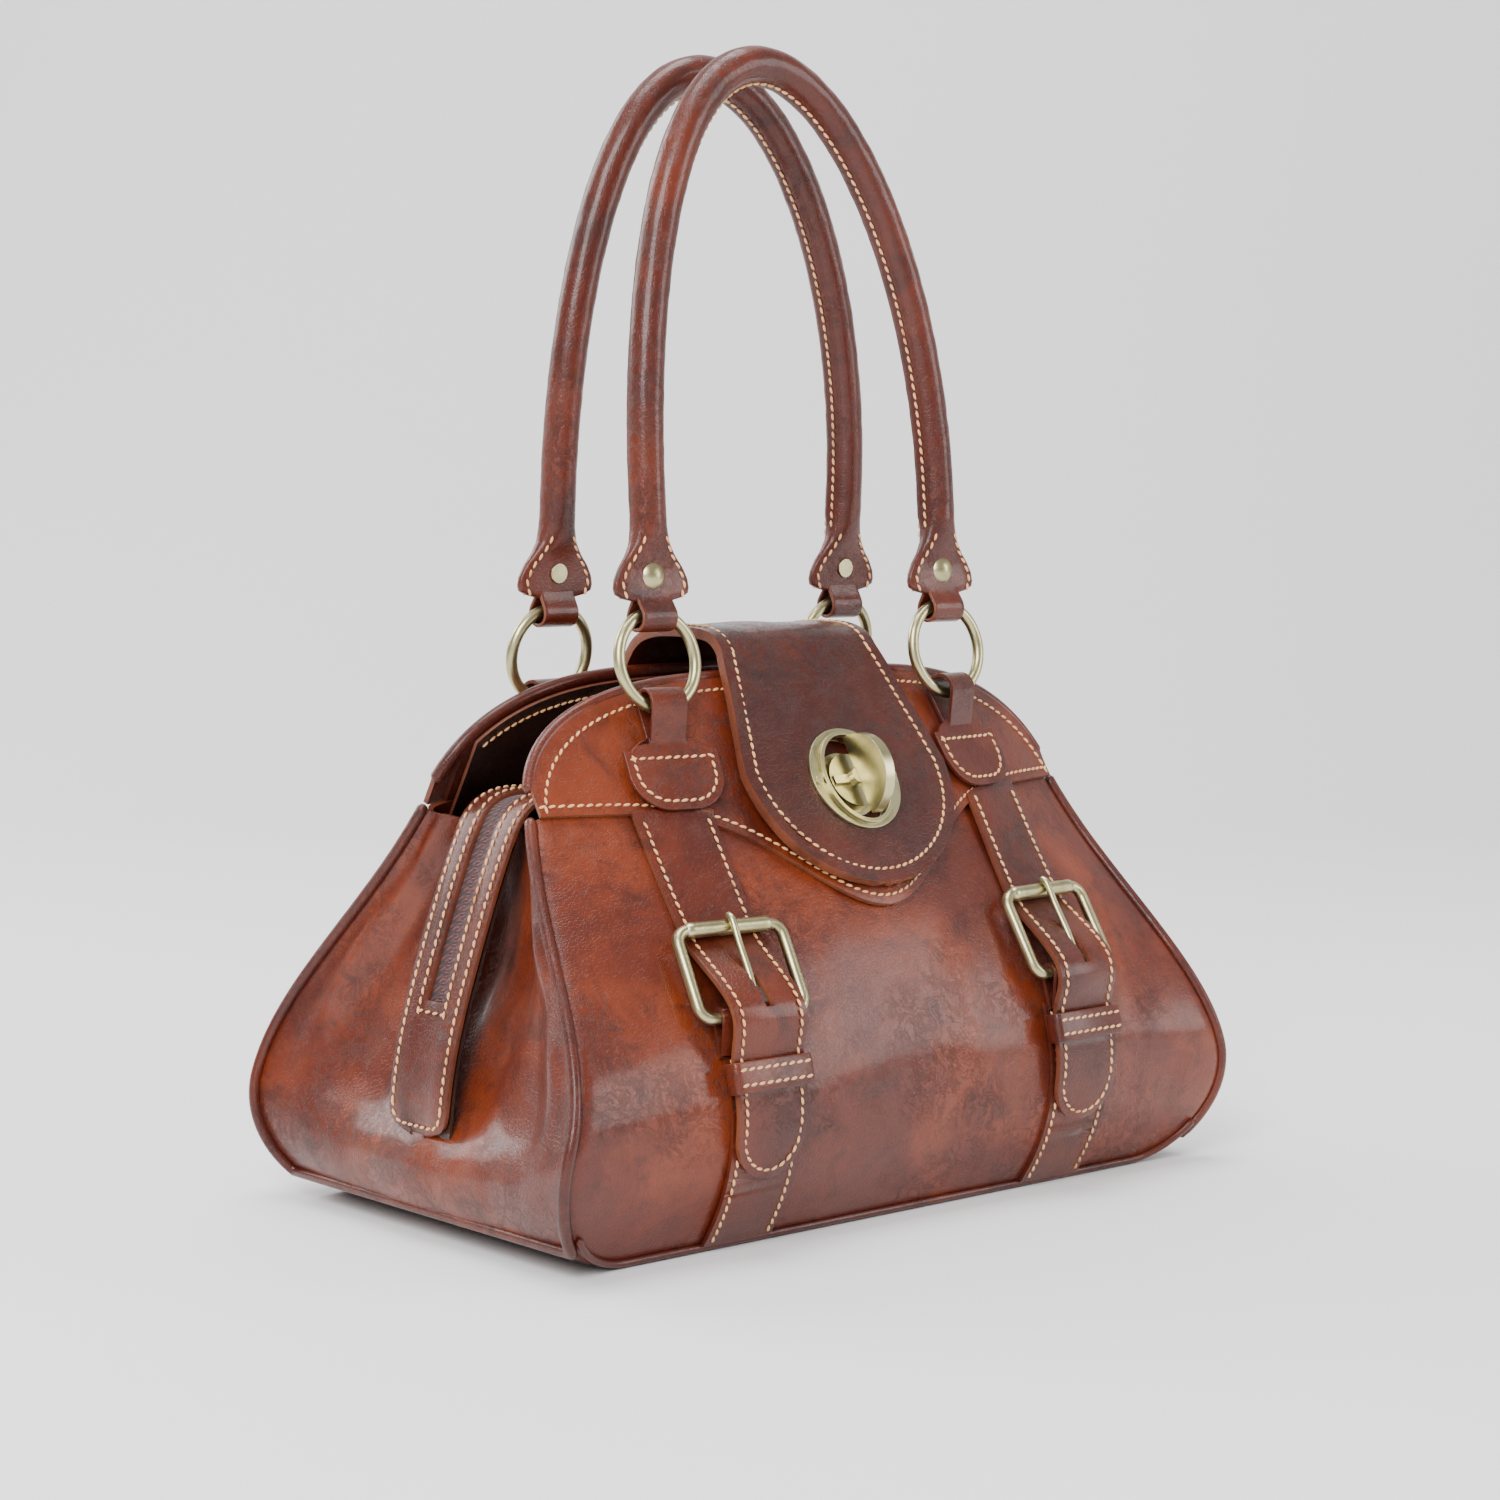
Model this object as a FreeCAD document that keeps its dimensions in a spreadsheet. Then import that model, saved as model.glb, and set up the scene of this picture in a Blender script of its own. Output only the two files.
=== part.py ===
import FreeCAD, Part
import math
import os
import Sketcher
from FreeCAD import Vector, Rotation, Placement

# Satchel bag: two leaning leather panels, pinched gussets, stiff collars over a recessed zip,
# a flap with a turn lock, two buckled straps and two rolled handles on rings.
# Frame: +X along the width, the front faces -Y, +Z up, origin on the floor at the base's centre.

doc = FreeCAD.newDocument("satchel_bag")
sheet = doc.addObject("Spreadsheet::Sheet", "sizes")

sizes = [
    ("corner_half_width", 171.0, "half width where the side lines would meet the floor"),
    ("shoulder_half_width", 125.0, "half width at the shoulders"),
    ("shoulder_level", 145.0, "height of the shoulders"),
    ("corner_radius", 35.0, "rounding of the lower corners, seen from the front"),
    ("floor_half_depth", 77.0, "half depth of the body on the floor"),
    ("belly_half_depth", 95.0, "half depth where the body is fullest"),
    ("belly_level", 45.0, "height where the body is fullest"),
    ("slope_half_depth", 68.0, "half depth where the straight upper slope begins"),
    ("slope_level", 120.0, "height where the straight upper slope begins"),
    ("collar_half_depth", 25.5, "half depth at the collars' top, at the middle"),
    ("collar_level", 190.0, "height of the collars' top at the middle"),
    ("shoulder_bow", 20.0, "how far the panel curves back at the shoulders"),
    ("leather_thickness", 2.0, "body leather"),
    ("facing_thickness", 1.4, "leather inside the collars"),
    ("lining_thickness", 0.8, "cloth lining"),
    ("seat_gap", 0.3, "clearance between two leather layers that lie on each other"),
    ("seam_overlap", 8.0, "how far the panel runs up behind the yoke"),
    ("yoke_dip", 32.0, "how far the yoke's lower edge dips at the middle"),
    ("yoke_dip_width", 45.0, "spread of that dip"),
    ("gusset_fold", 17.5, "depth of the gusset's inward fold near its top"),
    ("base_end", 147.0, "half length of the base panel, along X"),
    ("board_thickness", 2.0, "stiff board inside the base"),
    ("piping_size", 2.4, "thickness of the piping along the seams"),
    ("zip_level", 152.0, "height of the zip band's top face"),
    ("band_width", 34.0, "width of the leather zip band"),
    ("band_bend_half", 112.0, "half length of the zip band's level stretch"),
    ("tail_end_half", 152.5, "distance from the middle to the tail's lower end"),
    ("tail_end_level", 35.0, "height of the tail's lower end"),
    ("slot_width", 10.0, "width of the slot in the zip band"),
    ("slot_end_level", 81.0, "height where the slot ends on the tails"),
    ("tape_width", 26.0, "width of the two zip tapes together"),
    ("tape_thickness", 0.8, "zip tape"),
    ("coil_width", 5.2, "width of the two closed coils together"),
    ("coil_height", 1.8, "height of the coils"),
    ("slider_length", 11.0, "zip slider, along X"),
    ("slider_parking", 98.0, "where the closed slider stands, along X"),
    ("slider_travel", 196.0, "the slider's travel along the level stretch"),
    ("puller_length", 28.0, "pull tab of the slider"),
    ("flap_tilt", 58.5, "angle of the flap's front from the level"),
    ("flap_pivot_y", 27.5, "distance of the flap's bend line in front of the middle plane"),
    ("flap_pivot_z", 200.5, "height of the flap's bend line"),
    ("flap_length", 95.0, "flap from its bend line to its tip"),
    ("flap_half_width", 48.0, "half width of the flap at its widest"),
    ("flap_neck_half_width", 37.5, "half width of the flap over the collars"),
    ("flap_end_length", 46.0, "length of the flap's rounded end"),
    ("flap_layer", 1.85, "thickness of each of the flap's two layers"),
    ("flap_crest_level", 207.5, "height of the flap's crest"),
    ("flap_back_level", 151.0, "height where the flap ends on the back yoke"),
    ("lock_distance", 54.5, "lock centre below the flap's bend line"),
    ("plate_radius", 20.0, "turn-lock plate"),
    ("plate_thickness", 1.2, "turn-lock plate"),
    ("lip_height", 1.4, "raised lip round the plate's opening"),
    ("lip_width", 1.6, "width of that lip"),
    ("opening_half_width", 14.0, "plate's opening, half across"),
    ("opening_half_length", 16.8, "plate's opening, half along the flap"),
    ("knob_radius", 15.2, "half-disc knob of the lock"),
    ("knob_thickness", 4.4, "thickness of the knob"),
    ("lock_base_radius", 12.6, "lock's base on the yoke"),
    ("spindle_radius", 3.0, "spindle that carries the knob"),
    ("run_clearance", 0.06, "radial clearance of a turning fit"),
    ("strap_offset", 76.5, "straps, from the middle plane"),
    ("strap_width", 30.0, "straps"),
    ("strap_thickness", 2.0, "straps"),
    ("strap_tip_level", 28.0, "height of the strap's tip"),
    ("chape_thickness", 1.5, "lower strap that holds the buckle"),
    ("buckle_level", 93.0, "height of the buckle's centre"),
    ("buckle_bar_spacing", 32.0, "between the buckle's two cross bars"),
    ("buckle_half_width", 21.6, "between the middle and a side bar's centre"),
    ("buckle_wire", 4.2, "thickness of the buckle's frame"),
    ("buckle_lift", 5.4, "height of the buckle's bars above the panel"),
    ("roller_radius", 2.7, "roller on the buckle's upper bar"),
    ("prong_radius", 1.2, "prong"),
    ("keeper_level", 61.0, "height of the keeper's centre"),
    ("keeper_width", 10.0, "keeper, along the strap"),
    ("keeper_wall", 1.2, "keeper"),
    ("ring_offset", 70.0, "rings, from the middle plane"),
    ("ring_outer", 38.0, "outer diameter of a ring"),
    ("ring_wire", 4.2, "ring wire"),
    ("tab_level", 168.0, "height of the ring tab's neck on the yoke"),
    ("tab_neck", 12.0, "from there to the middle of the tab's loop"),
    ("ring_lean", 10.0, "how far a ring leans back to the middle"),
    ("tab_width", 14.0, "neck of a ring tab"),
    ("tab_foot_width", 37.0, "sewn foot of a ring tab"),
    ("tab_foot_length", 27.0, "sewn foot of a ring tab"),
    ("tab_layer", 1.5, "leather of the ring tabs"),
    ("tab_loop_radius", 4.5, "inside of a tab's loop round a ring"),
    ("handle_loop_radius", 3.6, "inside of a handle's loop round a ring"),
    ("loop_shift", 1.6, "a loop's centre from the wire's centre, towards the ring's middle"),
    ("handle_height", 166.0, "rise of the handle's tube above its ends"),
    ("handle_skew", 9.0, "how far the handles' tops lean to the left"),
    ("handle_radius", 6.5, "handle tube"),
    ("handle_wall", 1.6, "leather of the handle"),
    ("handle_lean", 3.8, "how far a handle leans back to the middle, in degrees"),
    ("handle_end_length", 28.0, "flat end, from the ring's wire to the tube"),
    ("handle_end_width", 33.0, "flat end at its widest"),
    ("handle_loop_width", 14.0, "flat end where it passes through the ring"),
    ("rivet_distance", 12.8, "rivet above the ring's upper wire"),
    ("rivet_radius", 1.6, "rivet shank"),
    ("rivet_cap_radius", 5.0, "domed rivet cap"),
]

for row, (alias, value, meaning) in enumerate(sizes, start=1):
    sheet.set(f"A{row}", alias)
    sheet.set(f"B{row}", str(value))
    sheet.set(f"C{row}", meaning)
    sheet.setAlias(f"B{row}", alias)
doc.recompute()


def size(alias):
    return float(sheet.get(alias))


leather = size("leather_thickness")
seat = size("seat_gap")
shoulder_level = size("shoulder_level")
collar_level = size("collar_level")

front = -1
back = 1
left = -1
right = 1
side_names = {left: "left", right: "right"}
face_names = {front: "front", back: "back"}


# ---- the body's outer form -------------------------------------------------------------------

def ease(share):
    # 0 to 1 with a level start and end
    share = min(max(share, 0.0), 1.0)
    return 0.5 - 0.5 * math.cos(math.pi * share)


def hermite(low, high, low_slope, high_slope, share, span):
    # cubic between two values with given slopes
    rise = 3 * share ** 2 - 2 * share ** 3
    start = share * (1 - share) ** 2 * span * low_slope
    end = share ** 2 * (share - 1) * span * high_slope
    return low + (high - low) * rise + start + end


def middle_half_depth(level):
    # half depth in the middle plane: tucked under, full at the belly, then a straight slope
    belly = size("belly_level")
    slope_level = size("slope_level")
    steepness = (size("collar_half_depth") - size("slope_half_depth")) / (collar_level - slope_level)
    if level >= slope_level:
        return size("slope_half_depth") + steepness * (level - slope_level)
    if level >= belly:
        share = (level - belly) / (slope_level - belly)
        return hermite(size("belly_half_depth"), size("slope_half_depth"), 0.0, steepness,
                       share, slope_level - belly)
    share = (belly - level) / belly
    return size("belly_half_depth") - (size("belly_half_depth") - size("floor_half_depth")) * share ** 2


def half_depth(x, level):
    # the panels curve back towards the shoulders, but stay straight below the belly
    belly = size("belly_level")
    share = ease((level - belly) / (shoulder_level - belly))
    return middle_half_depth(level) - size("shoulder_bow") * share * (x / size("shoulder_half_width")) ** 2


def skin(x, level, lift, face):
    # a point on the front or back panel's outer face, lifted along the face's normal
    step = 0.01
    along_x = (half_depth(x + step, level) - half_depth(x - step, level)) / (2 * step)
    along_z = (half_depth(x, level + step) - half_depth(x, level - step)) / (2 * step)
    normal = Vector(-along_x, 1.0, -along_z).normalize()
    point = Vector(x, half_depth(x, level), level) + normal * lift
    return Vector(point.x, face * point.y, point.z)


def skin_frame(x, level, lift, face):
    # local X level along the face, local Y up the slope, local Z out of the face
    step = 0.01
    origin = skin(x, level, lift, face)
    along = (skin(x + step, level, lift, face) - skin(x - step, level, lift, face)).normalize()
    if face == back:
        along = along * -1
    outward = (skin(x, level, lift + 1, face) - origin).normalize()
    up = outward.cross(along)
    return Placement(origin, Rotation(along, up, outward, "ZXY"))


side_slope = (size("shoulder_half_width") - size("corner_half_width")) / shoulder_level
side_angle = math.atan(-side_slope)
corner_radius = size("corner_radius")
corner_tangent = corner_radius / math.tan((math.pi / 2 - side_angle) / 2)
corner_centre_x = size("corner_half_width") - corner_tangent
corner_top_angle = side_angle
corner_top_level = corner_radius * (1 + math.sin(corner_top_angle))


def outline_half_width(level):
    if level < corner_top_level:
        drop = corner_radius - level
        return corner_centre_x + math.sqrt(max(corner_radius ** 2 - drop ** 2, 0.0))
    return size("corner_half_width") + side_slope * level


def yoke_low_edge(x):
    dip = math.exp(-(x / size("yoke_dip_width")) ** 2)
    return shoulder_level + 1.0 - size("yoke_dip") * dip


def yoke_top_edge(x):
    share = min(abs(x) / size("shoulder_half_width"), 1.0)
    return shoulder_level + (collar_level - shoulder_level) * math.sqrt(1 - share ** 3.5)


# ---- shapes ----------------------------------------------------------------------------------

def add_feature(label, shape, placement=None):
    # a free shape as a document object
    feature = doc.addObject("Part::Feature", label)
    feature.Label = label
    feature.Shape = shape
    if placement is not None:
        feature.Placement = placement
    return feature


def surface_through(points):
    surface = Part.BSplineSurface()
    surface.interpolate(points)
    return surface


def sheet_solid(outer_points, inner_points):
    # a leather sheet: two smooth faces through point grids, and four edge faces between them
    outer = surface_through(outer_points)
    inner = surface_through(inner_points)
    faces = [outer.toShape(), inner.toShape()]
    u0, u1, v0, v1 = outer.bounds()
    s0, s1, t0, t1 = inner.bounds()
    borders = [
        (outer.uIso(u0), inner.uIso(s0)),
        (outer.uIso(u1), inner.uIso(s1)),
        (outer.vIso(v0), inner.vIso(t0)),
        (outer.vIso(v1), inner.vIso(t1)),
    ]
    for outer_border, inner_border in borders:
        faces.append(Part.makeRuledSurface(outer_border.toShape(), inner_border.toShape()))
    shell = Part.Shell(faces)
    shell.sewShape()
    solid = Part.Solid(shell)
    solid.fix(0.001, 0.001, 0.001)
    if solid.Volume < 0:
        solid.reverse()
    return solid


def skin_sheet(grid, low_lift, high_lift, face):
    # grid: rows of (x, level) on a panel's face
    outer = [[skin(x, level, high_lift, face) for x, level in row] for row in grid]
    inner = [[skin(x, level, low_lift, face) for x, level in row] for row in grid]
    return sheet_solid(outer, inner)


def spread(low, high, count):
    return [low + (high - low) * step / (count - 1) for step in range(count)]


def circle_tangent(centre, radius, outside, turn):
    # where the tangent from an outside point meets a circle; turn picks one of the two
    toward = (outside[0] - centre[0], outside[1] - centre[1])
    distance = math.hypot(*toward)
    angle = math.atan2(toward[1], toward[0]) + turn * math.acos(radius / distance)
    return (centre[0] + radius * math.cos(angle), centre[1] + radius * math.sin(angle))


def teardrop(centre, radius, low, high):
    # flat face in local YZ: from low round the far side of a circle to high
    low_touch = circle_tangent(centre, radius, low, 1)
    high_touch = circle_tangent(centre, radius, high, -1)
    middle = ((low[0] + high[0]) / 2, (low[1] + high[1]) / 2)
    away = (centre[0] - middle[0], centre[1] - middle[1])
    reach = math.hypot(*away)
    far = (centre[0] + away[0] / reach * radius, centre[1] + away[1] / reach * radius)
    corner = [Vector(0, *point) for point in (low, low_touch, far, high_touch, high)]
    edges = [
        Part.LineSegment(corner[0], corner[1]).toShape(),
        Part.Arc(corner[1], corner[2], corner[3]).toShape(),
        Part.LineSegment(corner[3], corner[4]).toShape(),
        Part.LineSegment(corner[4], corner[0]).toShape(),
    ]
    return Part.Face(Part.Wire(edges))


def across(face, width):
    # a flat local YZ face made into a solid of that width, centred on the YZ plane
    solid = face.extrude(Vector(width, 0, 0))
    solid.translate(Vector(-width / 2, 0, 0))
    return solid


def block(low, high):
    span = high - low
    return Part.makeBox(span.x, span.y, span.z, low)


def outline_prism(points, depth):
    # closed outline of (x, y) points, extruded both ways along local Z
    corners = [Vector(x, y, -depth) for x, y in points]
    corners.append(corners[0])
    return Part.Face(Part.makePolygon(corners)).extrude(Vector(0, 0, 2 * depth))


def rounded_path(corners):
    # straight runs joined by tangent arcs as large as their runs allow
    edges = []
    start = corners[0]
    for before, corner, after in zip(corners, corners[1:], corners[2:]):
        toward = (before - corner).normalize()
        away = (after - corner).normalize()
        turn = math.pi - toward.getAngle(away)
        reach = 0.45 * min((before - corner).Length, (after - corner).Length)
        inner = reach * math.tan(turn / 2) * math.tan(turn / 4)
        bisector = (toward + away).normalize()
        first = corner + toward * reach
        last = corner + away * reach
        radius = reach / math.tan(turn / 2)
        middle = corner + bisector * (radius / math.cos(turn / 2) - radius)
        edges.append(Part.LineSegment(start, first).toShape())
        edges.append(Part.Arc(first, middle, last).toShape())
        start = last
    edges.append(Part.LineSegment(start, corners[-1]).toShape())
    return Part.Wire(edges)


# ---- panels, yokes and what stiffens them ----------------------------------------------------

def panel_top_edge(x):
    share = min(abs(x) / size("shoulder_half_width"), 1.0)
    return yoke_low_edge(x) + size("seam_overlap") * (1 - share ** 4)


def panel_grid():
    shares = spread(-1, 1, 23)
    grid = []
    for angle in spread(-math.pi / 2, corner_top_angle, 6):
        level = corner_radius * (1 + math.sin(angle)) + seat
        grid.append([(share * outline_half_width(level), level) for share in shares])
    for climb in spread(0, 1, 7)[1:]:
        row = []
        for share in shares:
            top = panel_top_edge(share * size("shoulder_half_width"))
            level = corner_top_level + seat + (top - corner_top_level - seat) * climb
            row.append((share * outline_half_width(level), level))
        grid.append(row)
    return grid


def band_grid(low_edge, high_edge, end_share):
    # rows between two edges that are functions of x
    reach = size("shoulder_half_width") * end_share
    grid = []
    for climb in spread(0, 1, 6):
        row = []
        for angle in spread(-math.pi / 2, math.pi / 2, 15):
            x = reach * math.sin(angle)
            row.append((x, low_edge(x) + (high_edge(x) - low_edge(x)) * climb))
        grid.append(row)
    return grid


collar_end_share = 0.985
facing_low_level = 138.0


def board_low_edge(x):
    return panel_top_edge(x) + seat


def facing_low_edge(x):
    return min(facing_low_level, yoke_top_edge(x) - seat)


panel_points = panel_grid()
yoke_points = band_grid(yoke_low_edge, yoke_top_edge, collar_end_share)
board_points = band_grid(board_low_edge, yoke_top_edge, 0.93)
facing_points = band_grid(facing_low_edge, yoke_top_edge, 0.9)

yoke_lift = seat
yoke_outer_lift = seat + leather
facing_outer_lift = -leather - seat
facing_inner_lift = facing_outer_lift - size("facing_thickness")

for face in (front, back):
    name = face_names[face]
    add_feature(f"{name}_panel", skin_sheet(panel_points, -leather, 0.0, face))
    add_feature(f"{name}_yoke", skin_sheet(yoke_points, yoke_lift, yoke_outer_lift, face))
    add_feature(f"{name}_yoke_facing",
                skin_sheet(facing_points, facing_inner_lift, facing_outer_lift, face))

collar_boards = [skin_sheet(board_points, -leather, 0.0, face) for face in (front, back)]
add_feature("collar_boards", Part.makeCompound(collar_boards))


def collar_edge(face):
    # rolled edge that closes the yoke, the board and the facing along the top
    thickness = size("piping_size")
    low_rows = []
    high_rows = []
    reach = size("shoulder_half_width") * 0.93
    stations = [reach * math.sin(angle) for angle in spread(-math.pi / 2, math.pi / 2, 17)]
    for x in stations:
        level = yoke_top_edge(x)
        low_row = []
        high_row = []
        for lift in (facing_inner_lift, 0.0, yoke_lift + leather / 2):
            base = skin(x, level, lift, face)
            low_row.append(base + Vector(0, 0, seat))
            high_row.append(base + Vector(0, 0, seat + thickness))
        low_rows.append(low_row)
        high_rows.append(high_row)
    return sheet_solid(high_rows, low_rows)


for face in (front, back):
    add_feature(f"{face_names[face]}_collar_edge", collar_edge(face))


# ---- gussets, base and lining ----------------------------------------------------------------

def outline_station(share):
    # share 0 to 1 of the gusset's length, round the lower corner and up the side
    seam_angle = -math.acos((size("base_end") - corner_centre_x) / corner_radius)
    corner_length = corner_radius * (corner_top_angle - seam_angle)
    side_length = (shoulder_level - corner_top_level) / math.cos(side_angle)
    travelled = share * (corner_length + side_length)
    if travelled <= corner_length:
        angle = seam_angle + travelled / corner_radius
        x = corner_centre_x + corner_radius * math.cos(angle)
        return x, corner_radius * (1 + math.sin(angle)), angle
    level = corner_top_level + (travelled - corner_length) * math.cos(side_angle)
    return outline_half_width(level), level, corner_top_angle


def fold_depth(level, share):
    # the gusset is full low down and folds inwards above; share runs from seam to seam, -1 to 1
    deepest = size("gusset_fold") * ease((level - 10.0) / 45.0)
    return deepest * (1 - share ** 2)


def gusset(side):
    outer_rows = []
    inner_rows = []
    for share_up in spread(0.0, 0.997, 15):
        x, level, angle = outline_station(share_up)
        reach = half_depth(x, level) - (leather + seat) * 1.15
        outer_row = []
        inner_row = []
        for share in spread(-1, 1, 9):
            fold = fold_depth(level, share)
            for row, depth in ((outer_row, fold), (inner_row, fold + leather)):
                out_x = x - math.cos(angle) * depth
                out_z = level - math.sin(angle) * depth
                row.append(Vector(side * out_x, share * reach, out_z))
        outer_rows.append(outer_row)
        inner_rows.append(inner_row)
    return sheet_solid(outer_rows, inner_rows)


gussets = {side: add_feature(f"gusset_{side_names[side]}", gusset(side)) for side in (left, right)}


base_trim = 0.06   # pressed flat at the floor, so the underside is a true plane


def base_panel():
    # the flat bottom, curling up at both ends to meet the gussets
    seam_x = size("base_end") - 2 * seat
    low_rows = []
    high_rows = []
    end_angle = -math.acos((seam_x - corner_centre_x) / corner_radius)
    ends = []
    for angle in spread(-math.pi / 2, end_angle, 5):
        ends.append((corner_centre_x + corner_radius * math.cos(angle),
                     corner_radius * (1 + math.sin(angle)), math.cos(angle), math.sin(angle)))
    flat = corner_centre_x - 6.0
    stations = [(-x, z, -lean_x, lean_z) for x, z, lean_x, lean_z in reversed(ends)]
    stations += [(x, 0.0, 0.0, -1.0) for x in spread(-flat, flat, 9)]
    stations += ends
    for x, z, lean_x, lean_z in stations:
        reach = middle_half_depth(z) - (leather + seat) * 1.15
        sink = base_trim if z == 0.0 else 0.0
        low_rows.append([Vector(x, y, z - sink) for y in spread(-reach, reach, 3)])
        high_rows.append([Vector(x - lean_x * leather, y, z - lean_z * leather)
                          for y in spread(-reach, reach, 3)])
    # pressed on a flat plate, which leaves the underside a true plane at the floor
    width = 2 * seam_x
    return sheet_solid(high_rows, low_rows).cut(Part.makeBox(width, width, 5.0, Vector(-width / 2, -width / 2, -5.0)))


add_feature("base_panel", base_panel())

board_body = doc.addObject("PartDesign::Body", "base_board")
board_body.Label = "base_board"


def origin_plane(body, role):
    for feature in body.Origin.OriginFeatures:
        if feature.Role == role:
            return feature
    raise ValueError(role)


def new_sketch(body, name, role="XY_Plane"):
    sketch = body.newObject("Sketcher::SketchObject", name)
    sketch.AttachmentSupport = [(origin_plane(body, role), "")]
    sketch.MapMode = "FlatFace"
    return sketch


def bind(target, path, expression):
    target.setExpression(path, expression)


def centred_rectangle(sketch, width_expression, height_expression):
    # four lines, symmetric about the sketch's origin, sized by two expressions
    corners = [Vector(-1, -1, 0), Vector(1, -1, 0), Vector(1, 1, 0), Vector(-1, 1, 0)]
    for index in range(4):
        sketch.addGeometry(Part.LineSegment(corners[index], corners[(index + 1) % 4]))
    for index in range(4):
        sketch.addConstraint(Sketcher.Constraint("Coincident", index, 2, (index + 1) % 4, 1))
    sketch.addConstraint(Sketcher.Constraint("Horizontal", 0))
    sketch.addConstraint(Sketcher.Constraint("Horizontal", 2))
    sketch.addConstraint(Sketcher.Constraint("Vertical", 1))
    sketch.addConstraint(Sketcher.Constraint("Vertical", 3))
    sketch.addConstraint(Sketcher.Constraint("Symmetric", 0, 1, 1, 2, -1, 1))
    width = sketch.addConstraint(Sketcher.Constraint("DistanceX", 0, 1, 0, 2, 2.0))
    height = sketch.addConstraint(Sketcher.Constraint("DistanceY", 1, 1, 1, 2, 2.0))
    bind(sketch, f"Constraints[{width}]", width_expression)
    bind(sketch, f"Constraints[{height}]", height_expression)


def pad(body, sketch, length_expression, name):
    feature = body.newObject("PartDesign::Pad", name)
    feature.Profile = sketch
    bind(feature, "Length", length_expression)
    return feature


board_sketch = new_sketch(board_body, "base_board_outline")
centred_rectangle(board_sketch, "2 * (sizes.corner_half_width - sizes.corner_radius - 16)",
                  "2 * (sizes.floor_half_depth - 3 * sizes.leather_thickness)")
board_pad = pad(board_body, board_sketch, "sizes.board_thickness", "base_board_pad")
doc.recompute()
board_round = board_body.newObject("PartDesign::Fillet", "base_board_corners")
upright = [f"Edge{index}" for index, edge in enumerate(board_pad.Shape.Edges, start=1)
           if abs(edge.BoundBox.ZLength - size("board_thickness")) < 0.01]
board_round.Base = (board_pad, upright)
board_round.Radius = 8.0
board_body.Placement = Placement(Vector(0, 0, leather + seat), Rotation())


def lining_half_width(level):
    # inside of the gussets' outline
    gap = leather + 2 * seat
    if level < corner_top_level:
        drop = corner_radius - level
        return corner_centre_x + math.sqrt(max((corner_radius - gap) ** 2 - drop ** 2, 0.0))
    return outline_half_width(level) - gap / math.cos(corner_top_angle)


def lining_section(level, shrink):
    # closed outline of the pouch at one height, folded in at the gussets
    reach = lining_half_width(level) - shrink
    shares = spread(-1, 1, 9)
    depth_gap = (leather + 2 * seat) * 1.25 + shrink
    edge = half_depth(reach, level) - depth_gap
    fold_shares = spread(-0.8, 0.8, 9)
    near = [Vector(share * reach, -(half_depth(share * reach, level) - depth_gap), level)
            for share in shares]
    far = [Vector(point.x, -point.y, level) for point in reversed(near)]
    right_fold = [Vector(reach - fold_depth(level + 6.0, share) * 1.1 - 0.6, edge * share, level)
                  for share in fold_shares]
    left_fold = [Vector(-point.x, point.y, level) for point in reversed(right_fold)]
    points = near + right_fold + far + left_fold
    points.append(points[0])
    return Part.makePolygon(points)


def lining():
    floor_level = 2 * leather + size("board_thickness") + seat
    rim_level = facing_low_level - 2.0
    wall = size("lining_thickness")
    climb = [0.0, 0.06, 0.14, 0.24, 0.36, 0.5, 0.66, 0.83, 1.0]
    levels = [floor_level + (rim_level - floor_level) * share for share in climb]
    outer = Part.makeLoft([lining_section(level, 0.0) for level in levels], True, True)
    inner_levels = [floor_level + wall] + levels[1:-1] + [rim_level + 1.0]
    inner = Part.makeLoft([lining_section(level, wall) for level in inner_levels], True, True)
    return outer.cut(inner)


add_feature("lining", lining())


piping_gap = 2 * seat


def piping(side):
    # a cord of leather along the gusset's front, bottom and back seams
    thickness = size("piping_size")
    strips = []
    for face in (front, back):
        outer_rows = []
        inner_rows = []
        for share in spread(0.006, 0.992, 17):
            x, level, angle = outline_station(share)
            edge = half_depth(x, level)
            outer_row = []
            inner_row = []
            for y in spread(edge - leather - 1.2, edge + seat, 3):
                for row, rise in ((outer_row, piping_gap + thickness), (inner_row, piping_gap)):
                    row.append(Vector(side * (x + math.cos(angle) * rise), face * y,
                                      level + math.sin(angle) * rise))
            outer_rows.append(outer_row)
            inner_rows.append(inner_row)
        strips.append(sheet_solid(outer_rows, inner_rows))
    outer_rows = []
    inner_rows = []
    for share in (0.006, 0.014, 0.022):
        x, level, angle = outline_station(share)
        edge = half_depth(x, level) - leather
        for rows, rise in ((outer_rows, piping_gap + thickness), (inner_rows, piping_gap)):
            rows.append([Vector(side * (x + math.cos(angle) * rise), y, level + math.sin(angle) * rise)
                         for y in spread(-edge, edge, 3)])
    return strips[0].fuse(strips[1]).fuse(sheet_solid(outer_rows, inner_rows))


for side in (left, right):
    # pressed on the gusset, so the gusset's own bulge is left out of it
    add_feature(f"piping_{side_names[side]}", piping(side).cut(gussets[side].Shape))

edge_height = 3.2
edge_grid = [[(x, level) for x in spread(-corner_centre_x, corner_centre_x, 9)]
             for level in spread(seat, edge_height, 3)]
base_edges = [skin_sheet(edge_grid, seat, seat + 1.4, face) for face in (front, back)]
add_feature("base_edges", Part.makeCompound(base_edges))


# ---- recessed zip ----------------------------------------------------------------------------

band_thickness = 1.6
backing_thickness = 1.2
layer_gap = 0.2


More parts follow.
